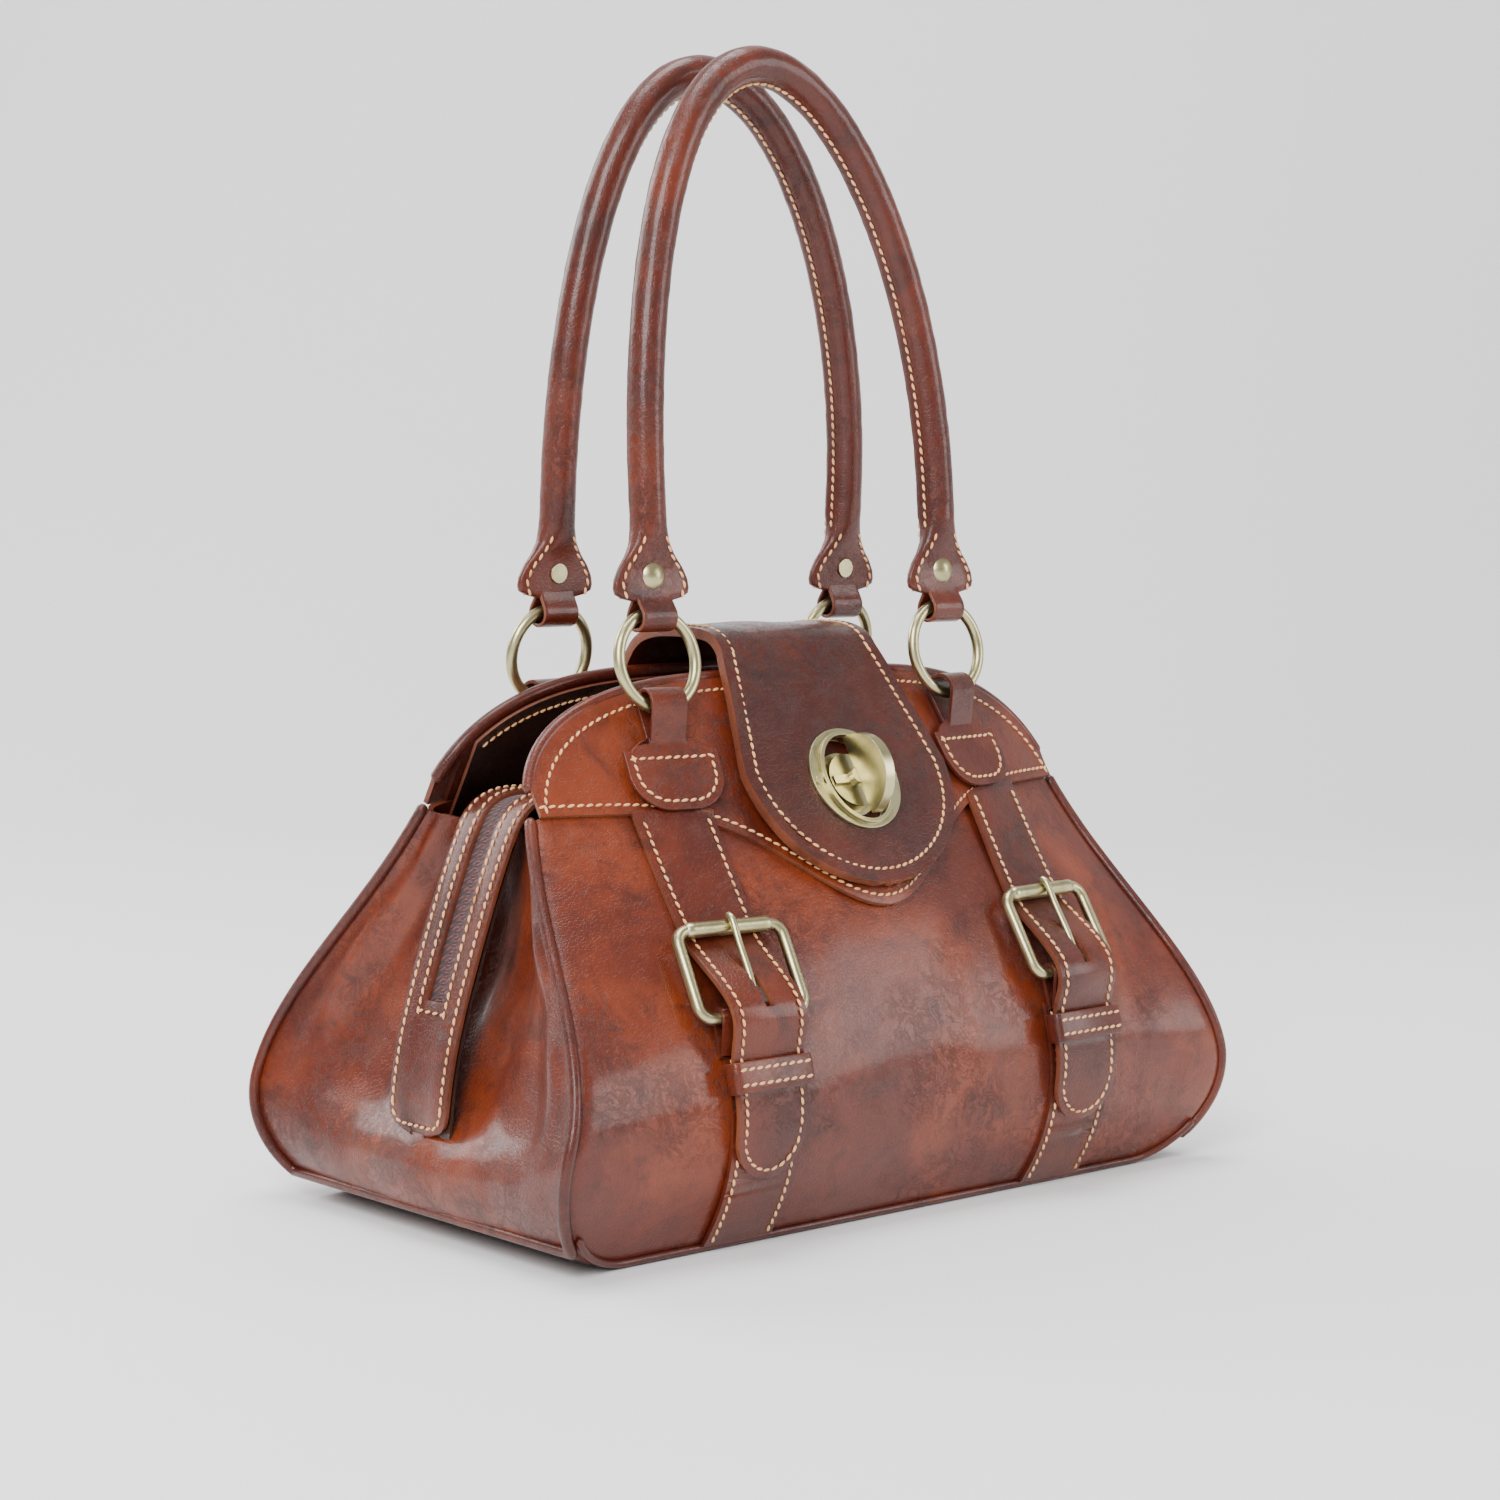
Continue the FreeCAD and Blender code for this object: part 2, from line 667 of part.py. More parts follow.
def zip_path():
    # right half of the band's top face, from the middle to the tail's end, in X and Z
    bend = size("band_bend_half")
    top = size("zip_level")
    tail_x = size("tail_end_half")
    tail_z = size("tail_end_level")
    drop = top - tail_z
    run = tail_x - bend
    level_stretch = [(bend * share, top) for share in (0.0, 0.3, 0.6, 0.85, 0.95)]
    bent = [(0.07, 0.025), (0.25, 0.11), (0.44, 0.26), (0.65, 0.46), (0.84, 0.66), (0.96, 0.85), (1.0, 1.0)]
    return level_stretch + [(bend + run * across_share, top - drop * down) for across_share, down in bent]


half_path = zip_path()
band_curve = Part.BSplineCurve()
band_curve.interpolate([Vector(-x, 0, z) for x, z in reversed(half_path)]
                       + [Vector(x, 0, z) for x, z in half_path[1:]])
band_first = band_curve.FirstParameter
band_last = band_curve.LastParameter


def band_rows(start, end, low_depth, high_depth, y_low, y_high, count, round_ends=False):
    # rows along the band's path; depth is measured below the band's top face
    high_rows = []
    low_rows = []
    for share in spread(0, 1, count):
        parameter = start + (end - start) * share
        point = band_curve.value(parameter)
        along = band_curve.tangent(parameter)[0]
        outward = Vector(-along.z, 0, along.x)
        squeeze = 1.0
        if round_ends:
            from_end = min(share, 1 - share) * (count - 1)
            squeeze = {0: 0.5, 1: 0.9}.get(round(from_end), 1.0)
        for rows, depth in ((high_rows, high_depth), (low_rows, low_depth)):
            rows.append([point - outward * depth + Vector(0, y * squeeze, 0)
                         for y in spread(y_low, y_high, 3)])
    return sheet_solid(high_rows, low_rows)


def band_parameter(level):
    # where the right tail passes a height
    low = (band_first + band_last) / 2
    high = band_last
    for _ in range(40):
        middle = (low + high) / 2
        if band_curve.value(middle).z > level:
            low = middle
        else:
            high = middle
    return low


slot_end = band_parameter(size("slot_end_level"))
slot_start = band_first + band_last - slot_end
tape_reach = band_parameter(size("slot_end_level") - 6.0)
tape_start = band_first + band_last - tape_reach
half_band = size("band_width") / 2
half_slot = size("slot_width") / 2
tape_top = band_thickness + layer_gap
tape_bottom = tape_top + size("tape_thickness")
coil_bottom = tape_top - layer_gap

band_blank = band_rows(band_first, band_last, band_thickness, 0.0, -half_band, half_band, 41, True)
slot_tool = band_rows(slot_start, slot_end, band_thickness + 1, -1.0, -half_slot, half_slot, 41)
add_feature("zip_band", band_blank.cut(slot_tool))

backing_start = band_parameter(size("zip_level") - 14.0)
backing_depth = tape_bottom + layer_gap
right_backing = band_rows(backing_start, band_last, backing_depth + backing_thickness, backing_depth,
                          -half_band + 1, half_band - 1, 11)
left_backing = right_backing.mirror(Vector(0, 0, 0), Vector(1, 0, 0))
add_feature("zip_tail_backings", Part.makeCompound([left_backing, right_backing]))

coil_half = size("coil_width") / 2
tapes = []
coils = []
for face in (front, back):
    near, far = sorted([face * 0.1, face * size("tape_width") / 2])
    tapes.append(band_rows(tape_start, tape_reach, tape_bottom, tape_top, near, far, 41))
    near, far = sorted([face * 0.1, face * coil_half])
    coils.append(band_rows(slot_start, slot_end, coil_bottom, coil_bottom - size("coil_height"),
                           near, far, 41))
add_feature("zip_tapes", Part.makeCompound(tapes))
add_feature("zip_coils", Part.makeCompound(coils))


def zip_panel(face):
    # level strip from the zip band out to the collar's facing
    top = size("zip_level") - band_thickness - 2 * layer_gap
    high_rows = []
    low_rows = []
    for x in spread(-92, 92, 9):
        outer = abs(skin(x, top + 3.0, facing_inner_lift, face).y) - seat
        inner = size("tape_width") / 2 + seat
        ys = spread(inner, outer, 3)
        high_rows.append([Vector(x, face * y, top) for y in ys])
        low_rows.append([Vector(x, face * y, top - backing_thickness) for y in ys])
    return sheet_solid(high_rows, low_rows)


add_feature("zip_panels", Part.makeCompound([zip_panel(front), zip_panel(back)]))

slider_x = size("slider_parking")
slider_half = size("slider_length") / 2
coil_top = size("zip_level") - coil_bottom + size("coil_height")
plate_low = coil_top + seat
plate_high = plate_low + 1.4
wall_low = size("zip_level") - tape_top + seat
wall_inner = coil_half + seat
wall_outer = half_slot - seat
lug_half = 1.3
pin_level = plate_high + 1.6
pin_radius = 0.85


def zip_slider():
    roof = block(Vector(-slider_half, -wall_outer, plate_low), Vector(slider_half, wall_outer, plate_high))
    body = roof
    for y_low, y_high in ((-wall_outer, -wall_inner), (wall_inner, wall_outer)):
        body = body.fuse(block(Vector(-slider_half, y_low, wall_low),
                               Vector(slider_half, y_high, plate_low)))
    lug = block(Vector(-2.0, -lug_half, plate_high), Vector(2.0, lug_half, pin_level + 1.6))
    hole = Part.makeCylinder(pin_radius + size("run_clearance"), 2 * lug_half + 2,
                             Vector(0, -lug_half - 1, pin_level), Vector(0, 1, 0))
    return body.fuse(lug).cut(hole).removeSplitter()


add_feature("zip_slider", zip_slider(), Placement(Vector(slider_x, 0, 0), Rotation()))


def zip_pull():
    # a pin through the slider's lug, two cheeks and a flat tab that lies towards the middle
    cheek_inner = lug_half + seat
    cheek_outer = cheek_inner + 1.3
    pin = Part.makeCylinder(pin_radius, 2 * cheek_outer, Vector(0, -cheek_outer, pin_level), Vector(0, 1, 0))
    pull = pin
    for y_low, y_high in ((-cheek_outer, -cheek_inner), (cheek_inner, cheek_outer)):
        pull = pull.fuse(block(Vector(-6.0, y_low, pin_level - 0.8), Vector(0.9, y_high, pin_level + 0.8)))
    tab = block(Vector(-size("puller_length"), -3.6, pin_level - 0.8), Vector(-4.0, 3.6, pin_level + 0.8))
    eye = Part.makeCylinder(1.8, 4, Vector(-size("puller_length") + 4.5, 0, pin_level - 2), Vector(0, 0, 1))
    return pull.fuse(tab).cut(eye).removeSplitter()


add_feature("zip_pull", zip_pull(), Placement(Vector(slider_x, 0, 0), Rotation()))


# ---- flap and turn lock ----------------------------------------------------------------------

flap_turn = Rotation(Vector(1, 0, 0), size("flap_tilt"))
pivot = Vector(0, -size("flap_pivot_y"), size("flap_pivot_z"))
flap_up = flap_turn.multVec(Vector(0, 1, 0))
flap_out = flap_turn.multVec(Vector(0, 0, 1))
lock_centre = pivot - flap_up * size("lock_distance")
lock_frame = Placement(lock_centre, flap_turn)
flap_layer = size("flap_layer")
flap_depth = 2 * flap_layer


def ellipse_face(half_x, half_y, level):
    # an ellipse centred on the lock, longer along the flap
    ellipse = Part.Ellipse(Vector(0, half_y, level), Vector(half_x, 0, level), Vector(0, 0, level))
    return Part.Face(Part.Wire(ellipse.toShape()))


def flap_blank(low, high):
    # straight sides that widen downwards, and a half-ellipse end
    top_y = size("lock_distance") - seat
    wide_y = size("lock_distance") - size("flap_length") + size("flap_end_length")
    neck = size("flap_neck_half_width")
    wide = size("flap_half_width")
    ellipse = Part.Ellipse(Vector(wide, wide_y, low), Vector(0, wide_y + size("flap_end_length"), low),
                           Vector(0, wide_y, low))
    end = Part.ArcOfEllipse(ellipse, math.pi, 2 * math.pi).toShape()
    first = end.Vertexes[0].Point
    last = end.Vertexes[-1].Point
    first_top = Vector(math.copysign(neck, first.x), top_y, low)
    last_top = Vector(math.copysign(neck, last.x), top_y, low)
    edges = [
        end,
        Part.LineSegment(last, last_top).toShape(),
        Part.LineSegment(last_top, first_top).toShape(),
        Part.LineSegment(first_top, first).toShape(),
    ]
    return Part.Face(Part.Wire(edges)).extrude(Vector(0, 0, high - low))


opening_x = size("opening_half_width")
opening_y = size("opening_half_length")
flap_hole = ellipse_face(opening_x + 0.8, opening_y + 0.8, -flap_depth - 2).extrude(Vector(0, 0, flap_depth + 4))
plate_bolt_x = (opening_x + size("lip_width") + size("plate_radius")) / 2
bolt_radius = 1.3
bolt_holes = [Part.makeCylinder(bolt_radius + size("run_clearance"), flap_depth + 4,
                                Vector(x, 0, -flap_depth - 2)) for x in (-plate_bolt_x, plate_bolt_x)]
for name, low, high in (("flap_outer", -flap_layer, 0.0), ("flap_lining", -flap_depth, -flap_layer)):
    layer = flap_blank(low, high).cut(flap_hole)
    for hole in bolt_holes:
        layer = layer.cut(hole)
    add_feature(name, layer, lock_frame)


def lock_plate():
    plate = Part.makeCylinder(size("plate_radius"), size("plate_thickness"))
    lip = ellipse_face(opening_x + size("lip_width"), opening_y + size("lip_width"), 0.0)
    lip = lip.extrude(Vector(0, 0, size("plate_thickness") + size("lip_height")))
    opening = ellipse_face(opening_x, opening_y, -1.0).extrude(Vector(0, 0, 10))
    plate = plate.fuse(lip).cut(opening)
    for hole in bolt_holes:
        plate = plate.cut(hole)
    return plate


add_feature("lock_plate", lock_plate(), lock_frame)


def lock_washer():
    washer = Part.makeCylinder(size("plate_radius"), 0.5, Vector(0, 0, -flap_depth - 0.5))
    washer = washer.cut(ellipse_face(opening_x + 0.8, opening_y + 0.8, -flap_depth - 1).extrude(Vector(0, 0, 2)))
    for hole in bolt_holes:
        washer = washer.cut(hole)
    return washer


add_feature("lock_washer", lock_washer(), lock_frame)


def lock_bolts():
    bolts = []
    for x in (-plate_bolt_x, plate_bolt_x):
        shank = Part.makeCylinder(bolt_radius, size("plate_thickness") + flap_depth + 0.5,
                                  Vector(x, 0, -flap_depth - 0.5))
        head = Part.makeCylinder(bolt_radius + 0.35, 0.9, Vector(x, 0, size("plate_thickness")))
        bolts.append(shank.fuse(head))
    return Part.makeCompound(bolts)


add_feature("lock_plate_bolts", lock_bolts(), lock_frame)

yoke_at_lock = skin(0, lock_centre.z - 2.5, yoke_outer_lift, front)
base_low = lock_frame.inverse().multVec(yoke_at_lock).z + 0.1
hub_top = size("plate_thickness")
knob_low = size("plate_thickness") + size("lip_height") + seat
spindle = size("spindle_radius")


def lock_base():
    # flange on the yoke, and a hub with a cross rib that stands in the flap's opening
    flange = Part.makeCylinder(size("lock_base_radius"), 0.9, Vector(0, 0, base_low))
    hub = Part.makeCylinder(size("lock_base_radius") - 2.2, hub_top - 1.5 - base_low, Vector(0, 0, base_low))
    rib = block(Vector(-size("lock_base_radius") + 2.6, -1.6, base_low),
                Vector(size("lock_base_radius") - 2.6, 1.6, hub_top))
    bore = Part.makeCylinder(spindle + size("run_clearance"), 20, Vector(0, 0, base_low + 0.9))
    return flange.fuse(hub).fuse(rib).cut(bore).removeSplitter()


add_feature("lock_base", lock_base(), lock_frame)


def lock_knob():
    # a half disc on a round spindle; its flat face passes close to the centre line
    radius = size("knob_radius")
    disc = Part.makeCylinder(radius, size("knob_thickness"), Vector(-0.6, 0, knob_low), Vector(1, 0, 0))
    upper = block(Vector(-5, -radius - 1, knob_low), Vector(10, radius + 1, knob_low + radius + 1))
    half_disc = disc.common(upper)
    stem = Part.makeCylinder(spindle, knob_low + 0.6 - base_low - 1.0, Vector(0, 0, base_low + 1.0))
    return half_disc.fuse(stem).removeSplitter()


add_feature("lock_knob", lock_knob(), lock_frame)


def flap_back_path():
    # outer face in the middle plane: up from the bend line, over the crest and down the back yoke
    crest = size("flap_crest_level")
    lift = yoke_outer_lift + 2 * seat + flap_depth
    high = skin(0, collar_level, lift, back)
    low = skin(0, size("flap_back_level"), lift, back)
    down = (low - high).normalize()
    back_bend = high + down * ((crest - 4.0 - high.z) / down.z)
    corners = [pivot, pivot + flap_up * 7.0, Vector(0, -12.0, crest), Vector(0, 8.0, crest), back_bend, low]
    return rounded_path(corners)


def flap_back_layer(path):
    # one layer lies below its own path; the path lies in the YZ plane
    section = path.makeOffset2D(flap_layer, fill=True, openResult=True)
    return across(section, 2 * size("flap_neck_half_width"))


outer_path = flap_back_path()
lining_path = outer_path.makeOffset2D(flap_layer, openResult=True)
add_feature("flap_rear_outer", flap_back_layer(outer_path))
add_feature("flap_rear_lining", flap_back_layer(lining_path))


# ---- straps and buckles ----------------------------------------------------------------------

strap_half = size("strap_width") / 2
bar_half_spacing = size("buckle_bar_spacing") / 2
bar_radius = size("buckle_wire") / 2
bar_lift = size("buckle_lift")
chape = size("chape_thickness")
wrap_inner = bar_radius + 0.2
wrap_outer = wrap_inner + chape
fold_end = -bar_half_spacing - 12.0


def buckle_frame_place(side):
    return skin_frame(side * size("strap_offset"), size("buckle_level"), 0.0, front)


def under(place, v):
    # local height of the panel's face below the buckle's plane, at a distance v up the slope
    origin = place.Base
    up = place.Rotation.multVec(Vector(0, 1, 0))
    level = origin.z + up.z * v
    return place.inverse().multVec(skin(origin.x, level, 0.0, front)).z


def strap(side):
    # comes from under the yoke, dives under the roller, climbs over the lower bar and hangs free
    offset = side * size("strap_offset")
    tip = size("strap_tip_level")
    place = buckle_frame_place(side)
    over_bar = bar_lift + wrap_outer + 0.7 - under(place, -bar_half_spacing)
    keeper_lift = 2 * seat + chape + size("keeper_wall") + 0.6
    buckle = size("buckle_level")
    keeper = size("keeper_level")
    route = [
        (145.0, 1.2), (136.0, 1.2), (127.0, 0.9), (118.0, 0.6), (buckle + 15.0, 0.6),
        (buckle + 10.0, 1.3), (buckle + 3.0, 4.6), (buckle - 5.0, 8.8), (buckle - 12.0, over_bar),
        (buckle - 18.0, over_bar - 0.8), (keeper + 6.0, keeper_lift + 1.3), (keeper, keeper_lift),
        (keeper - 9.0, keeper_lift - 0.3), (keeper - 21.0, keeper_lift - 1.5), (tip + 5.0, keeper_lift - 1.8),
        (tip, keeper_lift - 1.8),
    ]
    top = route[0][0]
    outer_rows = []
    inner_rows = []
    for level, lift in route:
        half = strap_half
        if level < tip + 6:
            half = strap_half * 0.86
        if level <= tip:
            half = strap_half * 0.45
        outer_row = []
        inner_row = []
        for share in spread(-1, 1, 5):
            x = offset + half * share
            # the upper end follows the yoke's wavy edge
            climb = (level - tip) / (top - tip)
            own_level = tip + (yoke_low_edge(x) - seat - tip) * climb if climb > 0.75 else level
            inner_row.append(skin(x, own_level, lift, front))
            outer_row.append(skin(x, own_level, lift + size("strap_thickness"), front))
        outer_rows.append(outer_row)
        inner_rows.append(inner_row)
    body = sheet_solid(outer_rows, inner_rows)
    slot = block(Vector(-1.9, -14.0, 2.0), Vector(1.9, 4.0, 20.0))
    slot.Placement = place
    return body.cut(slot)


def chape_piece(side):
    # lower strap: sewn to the panel, folded round the buckle's lower bar and back down
    offset = side * size("strap_offset")
    place = buckle_frame_place(side)
    low_leg = under(place, fold_end) + seat + 0.4
    high_leg = low_leg + 2 * chape + seat
    bar = (-bar_half_spacing, bar_lift)
    loop = across(teardrop(bar, wrap_outer, (fold_end, low_leg), (fold_end, high_leg)), size("strap_width"))
    hollow = across(teardrop(bar, wrap_inner, (fold_end, low_leg + chape), (fold_end, high_leg - chape)),
                    size("strap_width") + 2)
    slot = block(Vector(-2.2, bar[0] - wrap_outer - 0.5, bar[1] - wrap_outer - 0.5),
                 Vector(2.2, bar[0] + wrap_outer + 1, 20.0))
    loop = loop.cut(hollow).cut(slot)
    loop.Placement = place
    top = place.multVec(Vector(0, fold_end + 2.0, 0)).z
    grid = [[(offset + strap_half * share, level) for share in spread(-1, 1, 3)]
            for level in spread(edge_height + seat, top, 9)]
    return skin_sheet(grid, seat, seat + chape, front).fuse(loop)


def buckle_frame(side):
    # rectangle of round wire: thick lower bar and sides, thin upper bar that carries the roller
    half = size("buckle_half_width")
    low = -bar_half_spacing
    high = bar_half_spacing
    axle = size("roller_radius") - 1.2
    shape = Part.makeCylinder(bar_radius, 2 * half, Vector(-half, low, bar_lift), Vector(1, 0, 0))
    shape = shape.fuse(Part.makeCylinder(axle, 2 * half, Vector(-half, high, bar_lift), Vector(1, 0, 0)))
    for x in (-half, half):
        shape = shape.fuse(Part.makeCylinder(bar_radius, high - low, Vector(x, low, bar_lift), Vector(0, 1, 0)))
        for y in (low, high):
            shape = shape.fuse(Part.makeSphere(bar_radius, Vector(x, y, bar_lift)))
    return shape


def buckle_roller():
    half = size("buckle_half_width") - bar_radius - 0.3
    axle = size("roller_radius") - 1.2
    start = Vector(-half, bar_half_spacing, bar_lift)
    tube = Part.makeCylinder(size("roller_radius"), 2 * half, start, Vector(1, 0, 0))
    return tube.cut(Part.makeCylinder(axle + size("run_clearance"), 2 * half, start, Vector(1, 0, 0)))


def buckle_prong():
    # an eye round the lower bar and a round arm that rests on the roller
    low = -bar_half_spacing
    eye = Part.makeCylinder(wrap_outer - 0.4, 3.0, Vector(-1.5, low, bar_lift), Vector(1, 0, 0))
    hole = Part.makeCylinder(bar_radius + size("run_clearance"), 5.0, Vector(-2.5, low, bar_lift), Vector(1, 0, 0))
    radius = size("prong_radius")
    start = Vector(0, low, bar_lift + wrap_outer - 0.4 - radius)
    rest = Vector(0, bar_half_spacing + 2.6, bar_lift + size("roller_radius") + radius + 0.2)
    arm = Part.makeCylinder(radius, (rest - start).Length, start, rest - start)
    tip = Part.makeSphere(radius, rest)
    return eye.fuse(arm).fuse(tip).cut(hole).removeSplitter()


def keeper(side):
    # a leather loop sewn on the lower strap; the strap's tail passes through it
    level = size("keeper_level")
    place = skin_frame(side * size("strap_offset"), level, 0.0, front)
    wall = size("keeper_wall")
    half = strap_half + 0.9
    low = 2 * seat + chape
    high = low + wall + size("strap_thickness") + 2.4
    length = size("keeper_width")
    outer = block(Vector(-half - wall, -length / 2, low), Vector(half + wall, length / 2, high + wall))
    inner = block(Vector(-half, -length, low + wall), Vector(half, length, high))
    return outer.cut(inner), place


for side in (left, right):
    name = side_names[side]
    place = buckle_frame_place(side)
    add_feature(f"strap_{name}", strap(side))
    add_feature(f"chape_{name}", chape_piece(side))
    add_feature(f"buckle_frame_{name}", buckle_frame(side), place)
    add_feature(f"buckle_roller_{name}", buckle_roller(), place)
    add_feature(f"buckle_prong_{name}", buckle_prong(), place)
    keeper_shape, keeper_place = keeper(side)
    add_feature(f"keeper_{name}", keeper_shape, keeper_place)


# ---- rings and their tabs --------------------------------------------------------------------

ring_radius = (size("ring_outer") - size("ring_wire")) / 2
tab_loop = size("tab_loop_radius")
loop_shift = size("loop_shift")
tab_layer = size("tab_layer")
tab_neck = size("tab_neck")
loop_lift = seat + tab_layer + tab_loop


def tab_place(side, face):
    return skin_frame(side * size("ring_offset"), size("tab_level"), yoke_outer_lift, face)


def rounded_foot(width, length, low, high):
    radius = width * 0.38
    body = block(Vector(-width / 2, -length + radius, low), Vector(width / 2, 0, high))
    body = body.fuse(block(Vector(-width / 2 + radius, -length, low), Vector(width / 2 - radius, 0, high)))
    for x in (-width / 2 + radius, width / 2 - radius):
        body = body.fuse(Part.makeCylinder(radius, high - low, Vector(x, -length + radius, low)))
    return body.removeSplitter()


def ring_tab():
    # two layers sewn to the yoke, joined by a loop that holds the ring
    low = seat
    high = seat + 2 * tab_layer + layer_gap
    centre = (tab_neck, loop_lift)
    outer = teardrop(centre, tab_loop + tab_layer, (-2.0, low), (-2.0, high))
    inner = teardrop(centre, tab_loop, (-2.0, low + tab_layer), (-2.0, high - tab_layer))
    width = size("tab_width")
    loop = across(outer, width).cut(across(inner, width + 2))
    rear = block(Vector(-width / 2, -16.0, low), Vector(width / 2, -2.0, low + tab_layer))
    foot = rounded_foot(size("tab_foot_width"), size("tab_foot_length") - 4.0, high - tab_layer, high)
    foot.translate(Vector(0, -4.0, 0))
    neck = block(Vector(-width / 2, -6.0, high - tab_layer), Vector(width / 2, -2.0, high))
    return loop.fuse(rear).fuse(neck).fuse(foot).removeSplitter()


lean = math.radians(size("ring_lean"))
ring_bottom = {}
ring_top = {}
for face in (front, back):
    lean_up = Vector(0, -face * math.sin(lean), math.cos(lean))
    for side in (left, right):
        name = f"{face_names[face]}_{side_names[side]}"
        place = tab_place(side, face)
        add_feature(f"ring_tab_{name}", ring_tab(), place)
        loop_centre = place.multVec(Vector(0, tab_neck, loop_lift))
        bottom = Vector(side * size("ring_offset"), loop_centre.y, loop_centre.z) - lean_up * loop_shift
        ring_bottom[face, side] = bottom
        ring_top[face, side] = bottom + lean_up * (2 * ring_radius)
        ring = doc.addObject("Part::Torus", f"ring_{name}")
        ring.Label = f"ring_{name}"
        ring.setExpression("Radius1", "(sizes.ring_outer - sizes.ring_wire) / 2")
        ring.setExpression("Radius2", "sizes.ring_wire / 2")
        turn = 90 + face * size("ring_lean")
        ring.Placement = Placement(bottom + lean_up * ring_radius, Rotation(Vector(1, 0, 0), turn))


# ---- handles ---------------------------------------------------------------------------------

end_length = size("handle_end_length")
handle_wall = size("handle_wall")
end_gap = 0.4


def handle_path(trim):
    # half an ellipse in the handle's own plane, its top leaning to the left
    half = size("ring_offset")
    points = [Vector(-half, end_length + trim, 0), Vector(-half, end_length + 12.0, 0)]
    for step in range(1, 14):
        angle = math.pi * step / 14
        x = -half * math.cos(angle) - size("handle_skew") * math.sin(angle) ** 2
        points.append(Vector(x, end_length + 12.0 + (size("handle_height") - 12.0) * math.sin(angle), 0))
    points += [Vector(half, end_length + 12.0, 0), Vector(half, end_length + trim, 0)]
    return rounded_path(points)


def handle_tube(radius, trim):
    path = handle_path(trim)
    start = path.Edges[0].valueAt(path.Edges[0].FirstParameter)
    ring = Part.Wire(Part.Circle(start, Vector(0, 1, 0), radius).toShape())
    return path.makePipeShell([ring], True, False)


def end_outline(widen):
    # the flat end seen from the front: narrow in the ring, wide at the rivet, narrow at the tube
    loop = size("handle_loop_width") / 2 + widen
    wide = size("handle_end_width") / 2 + widen
    neck = size("handle_radius") + widen
    side_line = [(loop, -14.0), (loop, 1.0), (wide, 5.5), (wide, 10.0), (wide - 2.5, 15.0),
                 (neck + 1.5, end_length - 6.0), (neck, end_length - 2.0), (neck, end_length + 8.0)]
    return side_line + [(-x, y) for x, y in reversed(side_line)]


def handle_end():
    # two flat layers joined by a loop round the ring; local Y points up from the ring's upper wire
    half_stack = handle_wall + end_gap / 2
    centre = (-loop_shift, 0.0)
    inside = size("handle_loop_radius")
    joint = inside + 2.0
    outer = teardrop(centre, inside + handle_wall, (joint, half_stack), (joint, -half_stack))
    inner = teardrop(centre, inside, (joint, end_gap / 2), (joint, -end_gap / 2))
    width = size("handle_end_width") + 4
    shape = across(outer, width).cut(across(inner, width + 2))
    front_layer = block(Vector(-width / 2, joint, end_gap / 2), Vector(width / 2, end_length + 5.0, half_stack))
    rear_layer = block(Vector(-width / 2, joint, -half_stack), Vector(width / 2, end_length - 5.0, -end_gap / 2))
    shape = shape.fuse(front_layer).fuse(rear_layer)
    shape = shape.common(outline_prism(end_outline(0.0), 20.0))
    hole = Part.makeCylinder(size("rivet_radius") + 0.05, 20.0,
                             Vector(0, size("rivet_distance"), -10.0), Vector(0, 0, 1))
    return shape.cut(hole)


def rivet():
    # shank, domed cap in front and flat cap behind
    half_stack = handle_wall + end_gap / 2
    radius = size("rivet_cap_radius")
    dome_height = 2.4
    dome_radius = (radius ** 2 + dome_height ** 2) / (2 * dome_height)
    sphere = Part.makeSphere(dome_radius, Vector(0, 0, half_stack + dome_height - dome_radius))
    dome = sphere.common(Part.makeCylinder(radius, dome_height + 1, Vector(0, 0, half_stack)))
    shank = Part.makeCylinder(size("rivet_radius"), 2 * half_stack, Vector(0, 0, -half_stack))
    flat_cap = Part.makeCylinder(radius * 0.72, 0.9, Vector(0, 0, -half_stack - 0.9))
    return dome.fuse(shank).fuse(flat_cap)


for face in (front, back):
    name = face_names[face]
    top = ring_top[face, right]
    handle_place = Placement(Vector(0, top.y, top.z), Rotation(Vector(1, 0, 0), 90 + face * size("handle_lean")))
    leather_shape = handle_tube(size("handle_radius"), 0.0).cut(handle_tube(size("handle_radius") - handle_wall, -1.0))
    ends = handle_end()
    rivets = []
    for side in (left, right):
        shifted = ends.copy()
        shifted.translate(Vector(side * size("ring_offset"), 0, 0))
        leather_shape = leather_shape.fuse(shifted)
        one = rivet()
        if face == back:
            one.rotate(Vector(0, 0, 0), Vector(0, 1, 0), 180)
        one.translate(Vector(side * size("ring_offset"), size("rivet_distance"), 0))
        rivets.append(one)
    core = handle_tube(size("handle_radius") - handle_wall - 0.1, 8.0)
    add_feature(f"handle_{name}", leather_shape, handle_place)
    add_feature(f"handle_{name}_core", core, handle_place)
    add_feature(f"handle_{name}_rivets", Part.makeCompound(rivets), handle_place)

# ---- check and write -------------------------------------------------------------------------

doc.recompute()
for item in doc.Objects:
    if "Invalid" in item.State or "Error" in item.State:
        raise RuntimeError(f"{item.Label}: {item.State}")

subparts = [item for item in doc.Objects
            if item.TypeId == "PartDesign::Body"
            or (item.TypeId.startswith("Part::") and not item.InList)]
for item in subparts:
    if item.Shape.isNull() or not item.Shape.isValid():
        raise RuntimeError(f"{item.Label}: the shape is not valid")

os.makedirs("parts", exist_ok=True)
for item in subparts:
    item.Shape.exportStep(f"parts/{item.Label}.step")
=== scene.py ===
import math

import bmesh
import bpy
from mathutils import Matrix, Vector, noise
from mathutils.bvhtree import BVHTree


